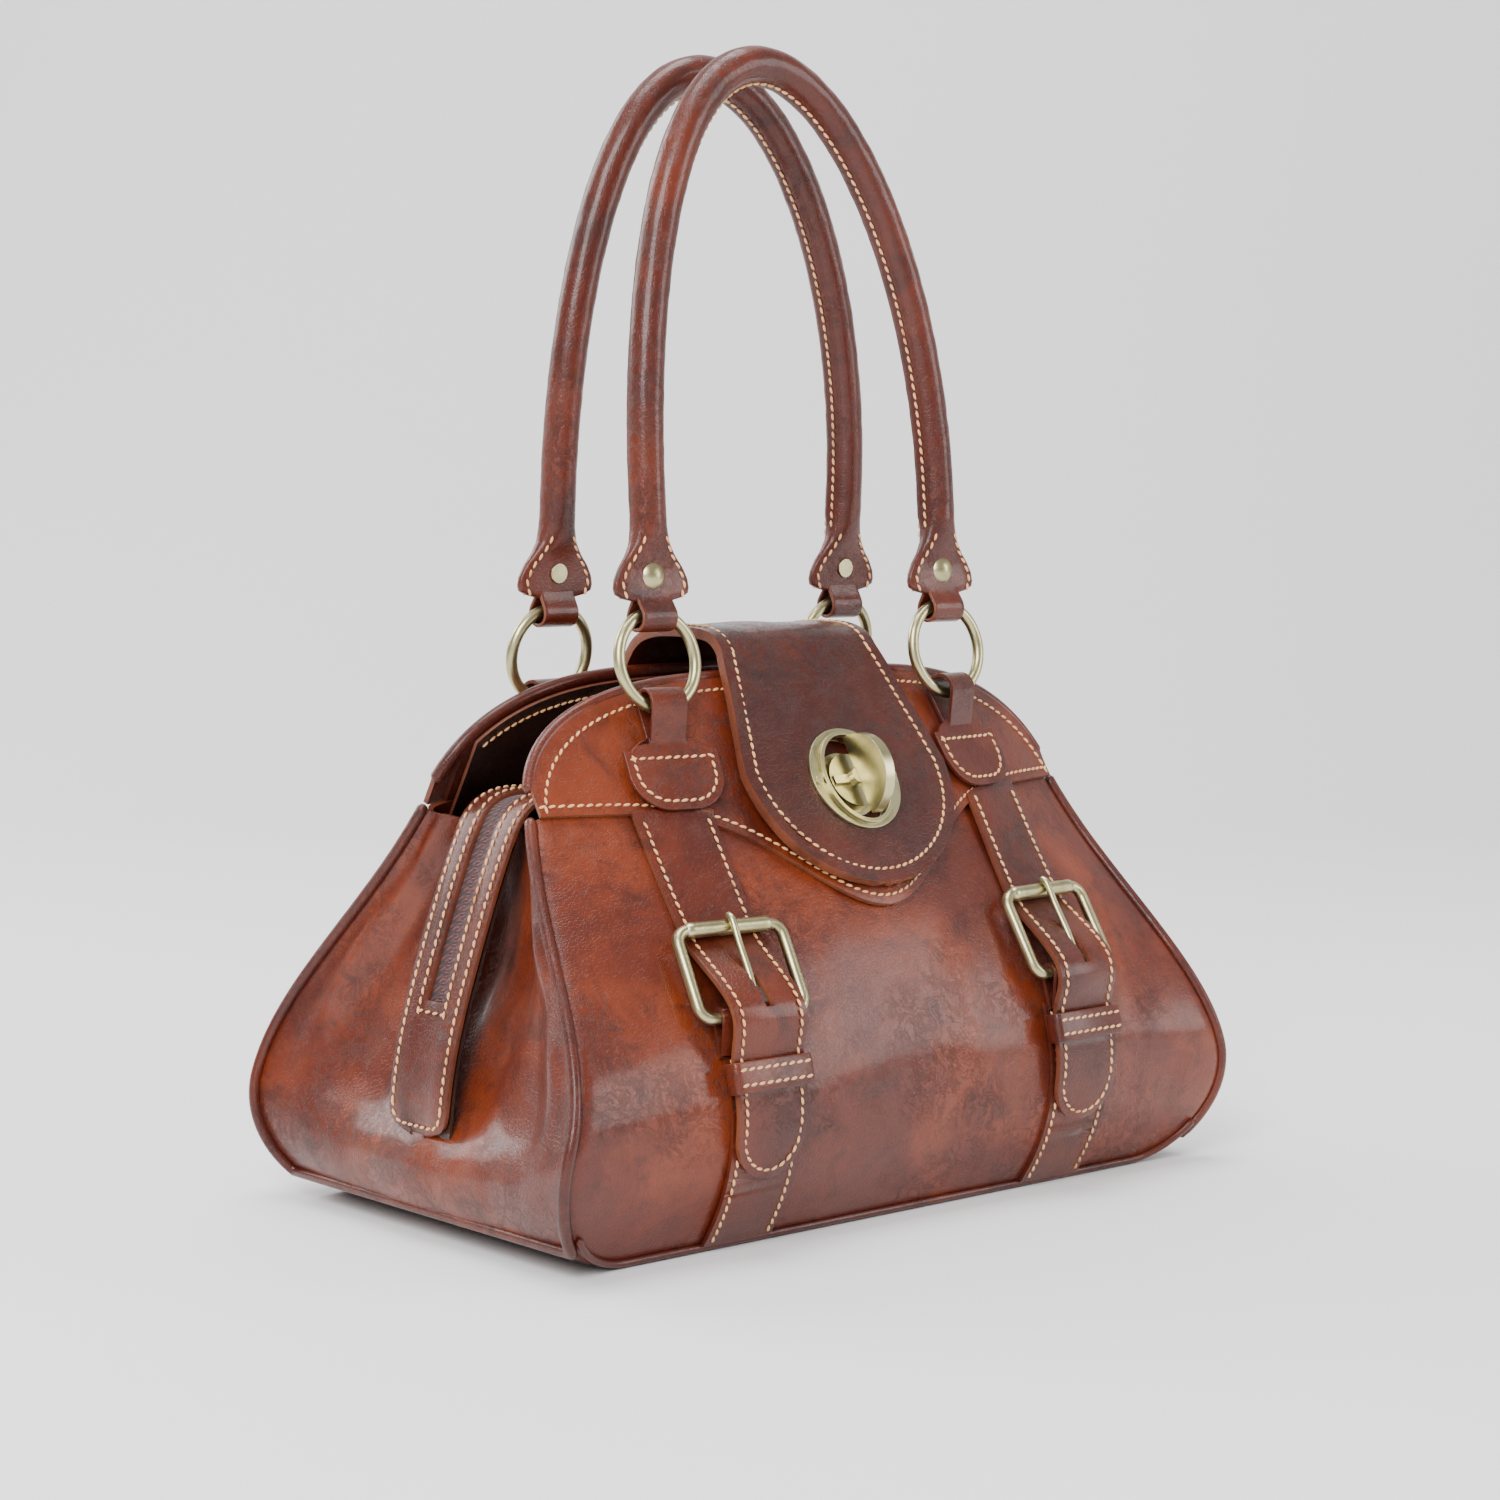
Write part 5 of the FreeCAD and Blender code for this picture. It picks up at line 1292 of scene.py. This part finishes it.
def flap_edge_route(inset):
    # round the flap, a fixed distance inside its edge
    normals, _ = grid_normals(flap_grid, Vector((0, 0, 1)))
    straight = flap_length - flap_end
    pairs = []
    for (point, distance), line in zip(flap_stations, normals):
        if distance is not None and distance > straight:
            break
        normal = line[len(line) // 2]
        pairs.append((flap_surface(point, flap_half_width(point) - inset, normal), line[-4]))
    for angle in spread(0, math.pi / 2, 40)[1:]:
        point = flap_pivot - flap_up * (straight + (flap_end - inset) * math.sin(angle))
        pairs.append((flap_surface(point, (flap_wide - inset) * math.cos(angle), flap_out), flap_out))
    mirrored = [(Vector((-point.x, point.y, point.z)), Vector((-normal.x, normal.y, normal.z)))
                for point, normal in reversed(pairs)]
    return pairs + mirrored[1:]


flap_route = flap_edge_route(0.0050)
split = flap_pivot.y
front_part = [pair for pair in flap_route if pair[0].y < split]
rear_right = [pair for pair in flap_route if pair[0].y >= split and pair[0].x > 0]
rear_left = [pair for pair in flap_route if pair[0].y >= split and pair[0].x < 0]
stitch_line("flap", [point for point, _ in front_part], [normal for _, normal in front_part])
for part in (rear_right, rear_left):
    stitch_line("bag", [point for point, _ in part], [normal for _, normal in part])
rear_end = flap_grid[2][3:-3]
rear_normal = skin_normal(0, 0.153, back)
stitch_line("bag", [point + rear_normal * 0.0001 for point in rear_end], [rear_normal] * len(rear_end))

# ---- straps and buckles ----------------------------------------------------------------------
# Each strap comes from under the yoke, runs through the roller buckle and its keeper, and hangs
# free to a round tip. The lower strap is sewn to the panel and folds round the buckle's bar.

strap_offset = 0.0765
strap_half = 0.0150
strap_thickness = 0.0020
strap_tip = 0.028
buckle_level = 0.093
bar_spacing = 0.032
buckle_half = 0.0216
wire_radius = 0.0021
bar_lift = 0.0054
roller_radius = 0.0027
prong_radius = 0.0013
keeper_level = 0.061
chape_thickness = 0.0015


def skin_matrix(x, level, lift, face):
    step = 0.0001
    origin = skin(x, level, lift, face)
    along = (skin(x + step, level, lift, face) - skin(x - step, level, lift, face)).normalized()
    if face == back:
        along = -along
    outward = skin_normal(x, level, face)
    up = outward.cross(along)
    place = Matrix((along, up, outward)).transposed().to_4x4()
    place.translation = origin
    return place


keeper_lift = 2 * seat + chape_thickness + 0.0012 + 0.0006
over_bar = 0.0116
strap_route = [(0.146, 0.0012), (0.136, 0.0012), (0.127, 0.0009), (0.118, 0.0006), (0.108, 0.0006),
               (0.103, 0.0013), (0.096, 0.0046), (0.088, 0.0088), (0.081, over_bar), (0.075, over_bar - 0.0008),
               (0.067, keeper_lift + 0.0013), (0.061, keeper_lift), (0.052, keeper_lift - 0.0001),
               (0.040, keeper_lift - 0.0012), (0.033, keeper_lift - 0.0016), (0.028, keeper_lift - 0.0016)]


def catmull(points, count):
    # a smooth line through given places
    padded = [points[0]] + points + [points[-1]]
    line = []
    for target in spread(0.0, len(points) - 1.0001, count):
        segment = int(target)
        share = target - segment
        p0, p1, p2, p3 = padded[segment:segment + 4]
        line.append(tuple(0.5 * (2 * b + (c - a) * share + (2 * a - 5 * b + 4 * c - d) * share ** 2
                                 + (3 * b - a - 3 * c + d) * share ** 3)
                          for a, b, c, d in zip(p0, p1, p2, p3)))
    return line


strap_line = catmull(strap_route, 110)
strap_shares = [-1.0, -0.95, -0.86, -0.7, -0.5, -0.3, -0.11, 0.11, 0.3, 0.5, 0.7, 0.86, 0.95, 1.0]


def strap_half_at(level):
    drop = strap_tip + 0.0145 - level
    if drop <= 0:
        return strap_half
    return strap_half * math.sqrt(max(1 - (drop / 0.0146) ** 2, 0.001))


def strap_top(x):
    return yoke_low_edge(x) + 0.003


def strap_rows(side):
    rows = []
    stations = [(level, lift) for level, lift in strap_line if level > strap_tip + 0.0145]
    last_level, last_lift = stations[-1]
    for angle in spread(0.0, 1.54, 18)[1:]:
        level = last_level - (last_level - strap_tip) * math.sin(angle)
        lift = next((lift for route_level, lift in strap_line if route_level <= level), strap_line[-1][1])
        stations.append((level, lift))
    for level, lift in stations:
        half = strap_half_at(level)
        row = []
        for share in strap_shares:
            x = side * strap_offset + share * half
            own_level = min(level, strap_top(x))
            crown = 0.0004 * (1 - share ** 2)
            wave = 0.0005 * noise.noise(Vector((level * 60.0, share * 0.8, side * 5.0)))
            row.append(skin(x, own_level, lift + strap_thickness + crown + wave, front))
        rows.append(row)
    return rows


def slot_for_prong(rows):
    def missing(r, c):
        level = rows[r][c].z
        return 0.086 < level < 0.0955 and strap_shares[c] == -0.11
    return missing


def loop_band(name, place, half_x, low, high, wall, length, corner, material):
    # a leather loop sewn to itself: a rounded rectangle in local XZ, as wide as length along local Y
    centre = (low + high) / 2
    half_z = (high - low) / 2
    outline = []
    for quarter in range(4):
        for step in range(9):
            angle = quarter * math.pi / 2 + step * math.pi / 18
            x = (half_x - corner) * (1 if quarter in (0, 3) else -1) + corner * math.cos(angle)
            z = (half_z - corner) * (1 if quarter in (0, 1) else -1) + corner * math.sin(angle)
            outline.append((x, z, math.cos(angle), math.sin(angle)))
    ys = spread(-length / 2, length / 2, 7)
    verts = []
    for y in ys:
        puff = 0.0003 * (1 - (2 * y / length) ** 2)
        for depth in (0.0, wall):
            for x, z, nx, nz in outline:
                grow = puff - depth
                verts.append(place @ Vector((x + nx * grow, y, centre + z + nz * grow)))
    count = len(outline)
    faces = []
    walls = []
    for row in range(len(ys) - 1):
        for turn in range(count):
            beside = (turn + 1) % count
            low_row = row * 2 * count
            high_row = (row + 1) * 2 * count
            faces.append((low_row + turn, high_row + turn, high_row + beside, low_row + beside))
            faces.append((low_row + count + turn, low_row + count + beside,
                          high_row + count + beside, high_row + count + turn))
    for row, flip in ((0, False), (len(ys) - 1, True)):
        for turn in range(count):
            beside = (turn + 1) % count
            base_index = row * 2 * count
            quad = (base_index + turn, base_index + beside, base_index + count + beside, base_index + count + turn)
            walls.append(len(faces))
            faces.append(quad[::-1] if flip else quad)
    piece = add_object(name, verts, faces, (material, cut_edge), walls)
    tidy = bmesh.new()
    tidy.from_mesh(piece.data)
    bmesh.ops.recalc_face_normals(tidy, faces=tidy.faces)
    tidy.to_mesh(piece.data)
    tidy.free()
    return round_edges(piece, wall * 0.3)


def buckle_wire(place):
    corner = 0.0050
    half_y = bar_spacing / 2
    points = []
    for quarter in range(4):
        sign_x = 1 if quarter in (0, 3) else -1
        sign_y = 1 if quarter in (0, 1) else -1
        for step in range(9):
            angle = quarter * math.pi / 2 + step * math.pi / 16
            points.append(place @ Vector((sign_x * (buckle_half - corner) + corner * math.cos(angle),
                                          sign_y * (half_y - corner) + corner * math.sin(angle), bar_lift)))
    dense = []
    for index, point in enumerate(points):
        following = points[(index + 1) % len(points)]
        dense.append(point)
        if (following - point).length > 0.004:
            dense += [point.lerp(following, share) for share in spread(0, 1, 7)[1:-1]]
    return dense


for side in (left, right):
    name = side_names[side]
    rows = strap_rows(side)
    strap = hide_sheet(f"strap_hide_{name}", rows, strap_thickness, Vector((0, -1, 0.3)), (trim_hide, cut_edge),
                       missing=slot_for_prong(rows), edge_round=0.3)
    seat_on(strap, "bag", "trim_leather", f"strap_{name}")
    inset = 0.0028
    round_level = strap_tip + 0.0145
    straight_part = [(level, lift) for level, lift in strap_line if round_level < level < 0.1425]
    stitch_half = strap_half - inset
    right_side = [(stitch_half, level, lift) for level, lift in straight_part]
    left_side = [(-stitch_half, level, lift) for level, lift in reversed(straight_part)]
    tip_lift = strap_line[-1][1]
    round_part = [(stitch_half * math.cos(angle), round_level - (0.0145 - inset) * math.sin(angle), tip_lift)
                  for angle in spread(0, math.pi, 24)]
    loop_points = [skin(side * strap_offset + x, level, lift + strap_thickness + 0.0003, front)
                   for x, level, lift in right_side + round_part + left_side]
    stitch_line("bag", loop_points, [skin_normal(point.x, point.z, front) for point in loop_points])

    lower = softened_copy(f"lower_strap_{name}", f"chape_{name}", trim_hide, 0.0004)
    seat_on(lower, "bag", "trim_leather", f"chape_{name}")
    for edge in (-1, 1):
        route = [(side * strap_offset + edge * (strap_half - 0.0026), level) for level in spread(0.006, 0.066, 60)]
        stitch_on_skin("bag", route, seat + chape_thickness + 0.0001, front)

    place = skin_matrix(side * strap_offset, buckle_level, 0.0, front)
    wire = cord_tube(f"buckle_wire_{name}", buckle_wire(place), wire_radius, (brass,), sides=20, closed=True)
    seat_on(wire, f"buckle_{name}", "brass", f"buckle_frame_{name}")
    roller_half = 0.0163
    roller_line = [place @ Vector((x, bar_spacing / 2, bar_lift)) for x in spread(-roller_half, roller_half, 24)]
    roller = cord_tube(f"roller_tube_{name}", roller_line, roller_radius, (brass,), sides=28)
    seat_on(roller, f"roller_{name}", "brass", f"buckle_roller_{name}")
    eye_line = []
    for step in range(13):
        angle = math.pi * (0.35 + 1.3 * step / 12)
        reach = wire_radius + prong_radius
        eye_line.append(Vector((0, -bar_spacing / 2 + reach * math.cos(angle), bar_lift + reach * math.sin(angle))))
    arm = [Vector((0, -bar_spacing / 2 + 0.002, bar_lift + wire_radius + prong_radius)),
           Vector((0, -0.004, bar_lift + 0.0038)), Vector((0, 0.008, bar_lift + 0.0036)),
           Vector((0, 0.0145, bar_lift + roller_radius + 0.0012)),
           Vector((0, bar_spacing / 2 + 0.0018, bar_lift + roller_radius + 0.0010)),
           Vector((0, bar_spacing / 2 + 0.0034, bar_lift + roller_radius - 0.0002))]
    arm = [Vector(point) for point in catmull([tuple(point) for point in arm], 26)]
    prong_line = [place @ point for point in list(reversed(eye_line)) + arm]
    prong = cord_tube(f"prong_wire_{name}", prong_line, prong_radius, (brass,), sides=12)
    seat_on(prong, f"prong_{name}", "brass", f"buckle_prong_{name}")

    keeper_place = skin_matrix(side * strap_offset, keeper_level, 0.0, front)
    low = 2 * seat + chape_thickness
    high = low + 2 * 0.0012 + strap_thickness + 0.0024
    band = loop_band(f"keeper_loop_{name}", keeper_place, strap_half + 0.0021, low, high, 0.0012, 0.0105, 0.0022,
                     trim_hide)
    seat_on(band, "bag", "trim_leather", f"keeper_{name}")
    for row_y in (-0.0026, 0.0026):
        points = [keeper_place @ Vector((x, row_y, high + 0.0003)) for x in spread(-0.0140, 0.0140, 12)]
        stitch_line("bag", points, [keeper_place.to_3x3() @ Vector((0, 0, 1))] * 12)

# ---- ring tabs and rings ---------------------------------------------------------------------
# Each tab is a doubled strip of hide folded round the ring, its wide foot stitched to the yoke in a
# boxed row. The rings are round brass wire.

ring_offset = 0.070
tab_level = 0.168
tab_neck = 0.012
tab_layer = 0.0015
tab_loop = 0.0045
loop_shift = 0.0016
ring_outer = 0.038
ring_wire = 0.0042
ring_lean = math.radians(10.0)
foot_half = 0.0185
foot_bottom = 0.027
foot_corner = foot_half * 2 * 0.38
foot_inset = 0.0032
ring_radius = (ring_outer - ring_wire) / 2
ring_top = {}
for face in (front, back):
    lean_up = Vector((0.0, -face * math.sin(ring_lean), math.cos(ring_lean)))
    for side in (left, right):
        name = f"{face_names[face]}_{side_names[side]}"
        tab = softened_copy(f"tab_hide_{name}", f"ring_tab_{name}", trim_hide, 0.00045)
        seat_on(tab, "bag", "trim_leather", f"ring_tab_{name}")
        place = skin_matrix(side * ring_offset, tab_level, yoke_lift, face)
        height = seat + 2 * tab_layer + 0.0002
        round_size = foot_corner - foot_inset
        outline = [(x, -0.0072) for x in spread(-foot_half + foot_inset, foot_half - foot_inset, 12)]
        outline += [(foot_half - foot_corner + round_size * math.cos(angle),
                     -foot_bottom + foot_corner + round_size * math.sin(angle))
                    for angle in spread(0, -math.pi / 2, 10)]
        outline += [(-foot_half + foot_corner + round_size * math.cos(angle),
                     -foot_bottom + foot_corner + round_size * math.sin(angle))
                    for angle in spread(-math.pi / 2, -math.pi, 10)]
        outline.append(outline[0])
        out = place.to_3x3() @ Vector((0, 0, 1))
        stitch_line("bag", [place @ Vector((x, y, height)) for x, y in outline], [out] * len(outline))

        loop_centre = place @ Vector((0, tab_neck, seat + tab_layer + tab_loop))
        bottom = Vector((side * ring_offset, loop_centre.y, loop_centre.z)) - lean_up * loop_shift
        ring_top[face, side] = bottom + lean_up * (2 * ring_radius)
        centre = bottom + lean_up * ring_radius
        circle = [centre + Vector((math.sin(angle), 0, 0)) * ring_radius - lean_up * (math.cos(angle) * ring_radius)
                  for angle in [2 * math.pi * step / 72 for step in range(72)]]
        ring = cord_tube(f"ring_wire_{name}", circle, ring_wire / 2, (brass,), sides=20, closed=True)
        seat_on(ring, f"ring_{name}", "brass", f"ring_{name}")

# ---- handles ---------------------------------------------------------------------------------
# A strip of hide rolled round a cord and stitched along its inner side. The roll opens into flat
# ends that fold round the rings and are held by a domed rivet, with a row of stitches on each edge.

handle_radius = 0.0065
handle_rise = 0.166
handle_skew = 0.009
handle_lean = math.radians(3.8)
end_length = 0.028
roll_start = end_length + 0.012
handle_wall = 0.0016
end_profile = [(0.0040, 0.0085, 0.0017, 4.0), (0.0050, 0.0130, 0.0018, 4.0), (0.0065, 0.0160, 0.0019, 4.0),
               (0.0085, 0.0165, 0.0019, 4.0), (0.0115, 0.0160, 0.0019, 4.0), (0.0155, 0.0140, 0.0021, 3.6),
               (0.0195, 0.0108, 0.0029, 3.0), (0.0240, 0.0082, 0.0045, 2.3), (0.0300, 0.0069, 0.0060, 2.0),
               (0.0400, 0.0065, 0.0065, 2.0)]


def end_shape(y):
    # half width, half thickness and squareness of the handle at a height above the ring's wire
    if y >= end_profile[-1][0]:
        return end_profile[-1][1:]
    for lower, upper in zip(end_profile, end_profile[1:]):
        if y <= upper[0]:
            share = max((y - lower[0]) / (upper[0] - lower[0]), 0.0)
            return tuple(a + (b - a) * share for a, b in zip(lower[1:], upper[1:]))
    return end_profile[-1][1:]


def handle_stations():
    # centre line in the handle's own plane, from the left ring over the top to the right ring
    low = [Vector((-ring_offset, y, 0)) for y in [0.0040, 0.0044, 0.0050, 0.0057, 0.0065, 0.0075] +
           spread(0.0085, roll_start, 22)]
    arch = []
    for angle in spread(0, math.pi, 150)[1:-1]:
        x = -ring_offset * math.cos(angle) - handle_skew * math.sin(angle) ** 2
        arch.append(Vector((x, roll_start + (handle_rise - 0.012) * math.sin(angle), 0)))
    high = [Vector((ring_offset, point.y, 0)) for point in reversed(low)]
    return low + arch + high


seam_angle = math.radians(200.0)
ring_sides = 28


def handle_section(point, along):
    # points round the handle; angle 0 looks outwards in the handle's plane, 90 degrees to its front
    half, thick, square = end_shape(point.y)
    across = Vector((-along.y, along.x, 0))
    rolled_share = ease((point.y - end_length + 0.004) / 0.012)
    section = []
    for turn in range(ring_sides):
        angle = 2 * math.pi * turn / ring_sides
        c, s = math.cos(angle), math.sin(angle)
        x = math.copysign(abs(c) ** (2 / square), c) * half
        z = math.copysign(abs(s) ** (2 / square), s) * thick
        gap = math.atan2(math.sin(angle - seam_angle), math.cos(angle - seam_angle))
        ridge = 0.0016 * math.exp(-(gap / 0.24) ** 2) * rolled_share
        wrinkle = 0.00022 * noise.noise(Vector((point.x * 120 + c * 2, point.y * 260, s * 2 + 9))) * rolled_share
        scale = 1 + (ridge + wrinkle) / max(math.hypot(x, z), 0.001)
        section.append(point + across * (x * scale) + Vector((0, 0, z * scale)))
    return section


def handle_mesh(name, place, materials):
    stations = handle_stations()
    verts = []
    faces = []
    for index, point in enumerate(stations):
        along = (stations[min(index + 1, len(stations) - 1)] - stations[max(index - 1, 0)]).normalized()
        verts += [place @ vert for vert in handle_section(point, along)]
    for index in range(len(stations) - 1):
        for turn in range(ring_sides):
            beside = (turn + 1) % ring_sides
            faces.append((index * ring_sides + turn, index * ring_sides + beside,
                          (index + 1) * ring_sides + beside, (index + 1) * ring_sides + turn))
    faces.append(tuple(reversed(range(ring_sides))))
    faces.append(tuple(range((len(stations) - 1) * ring_sides, len(stations) * ring_sides)))
    piece = add_object(name, verts, faces, materials)
    tidy = bmesh.new()
    tidy.from_mesh(piece.data)
    bmesh.ops.recalc_face_normals(tidy, faces=tidy.faces)
    tidy.to_mesh(piece.data)
    tidy.free()
    return piece


def ring_fold(name, place, side):
    # the narrow strip that passes through the ring, from the front layer round to the rear one
    centre_y = -loop_shift
    radius = 0.0036 + handle_wall
    joint = 0.0052
    half = 0.0076
    line = [Vector((0, joint + 0.0030, 0.0018)), Vector((0, joint, 0.0019))]
    line += [Vector((0, centre_y + radius * math.cos(angle), radius * math.sin(angle)))
             for angle in spread(math.radians(58), math.radians(302), 22)]
    line += [Vector((0, joint, -0.0019)), Vector((0, joint + 0.0030, -0.0018))]
    rows = []
    for point in line:
        rows.append([place @ Vector((side * ring_offset + share * half, point.y, point.z))
                     for share in spread(-1, 1, 9)])
    middle = place @ Vector((side * ring_offset, centre_y, 0))
    return hide_sheet(name, rows, handle_wall * 0.9, lambda point: point - middle, (trim_hide, cut_edge))


for face in (front, back):
    name = face_names[face]
    top = ring_top[face, right]
    place = Matrix.Translation((0, top.y, top.z)) @ Matrix.Rotation(math.pi / 2 + face * handle_lean, 4, "X")
    body = f"handle_{name}"
    parts = [handle_mesh("roll", place, (trim_hide,))]
    parts += [ring_fold("fold", place, side) for side in (left, right)]
    seat_on(joined(f"{name}_handle_hide", parts), body, "trim_leather", f"handle_{name}")
    outward = 1 if face == front else -1
    turn_matrix = place.to_3x3()
    for side in (left, right):
        for edge in (-1, 1):
            for z_side in (-1, 1):
                points = []
                normals = []
                for y in spread(0.0062, 0.0250, 24):
                    half, thick, square = end_shape(y)
                    x = half - 0.0028
                    z = thick * max(1 - (x / half) ** square, 0.0) ** (1 / square)
                    points.append(place @ Vector((side * ring_offset + edge * x, y, z_side * (z + 0.0001))))
                    normals.append(turn_matrix @ Vector((0, 0, z_side)))
                stitch_line(body, points, normals)
    stations = [point for point in handle_stations() if point.y > end_length - 0.002]
    for offset in (-0.42, 0.42):
        points = []
        normals = []
        for index, point in enumerate(stations):
            along = (stations[min(index + 1, len(stations) - 1)] - stations[max(index - 1, 0)]).normalized()
            across = Vector((-along.y, along.x, 0))
            direction = across * math.cos(seam_angle + offset) + Vector((0, 0, math.sin(seam_angle + offset)))
            points.append(place @ (point + direction * (handle_radius + 0.0004)))
            normals.append(turn_matrix @ direction)
        stitch_line(body, points, normals)

# ---- stitching -------------------------------------------------------------------------------
# Thick waxed thread in pale peach, a slightly slanted saddle stitch about 3.4 mm long, laid along
# every line that the sections above have set out, one mesh for each moving body.


def thread_material():
    material, nodes, links, shader = principled("waxed_thread")
    tree = material.node_tree
    place = nodes.new("ShaderNodeTexCoord").outputs["Object"]
    soil = map_range(tree, noise_node(tree, place, 110.0, 3.0), 0.50, 0.75)
    tone = colour_mix(tree, soil, (0.80, 0.43, 0.20, 1.0), (0.50, 0.21, 0.085, 1.0))
    ply = noise_node(tree, place, 2200.0, 1.0)
    relief = nodes.new("ShaderNodeBump")
    relief.inputs["Distance"].default_value = 0.0001
    links.new(ply, relief.inputs["Height"])
    links.new(relief.outputs["Normal"], shader.inputs["Normal"])
    links.new(tone, shader.inputs["Base Color"])
    shader.inputs["Roughness"].default_value = 0.6
    return material


waxed_thread = thread_material()
stitch_item = small_capsule("stitch_item", 0.0028, 0.00052, 6, 5, 0.00012)
for body, lines in stitch_lines.items():
    rows = repeated_row(f"stitches_{body}", lines, stitch_item, 0.0034, waxed_thread, slant=0.20, waver=0.06)
    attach(rows, body)
bpy.data.objects.remove(stitch_item)
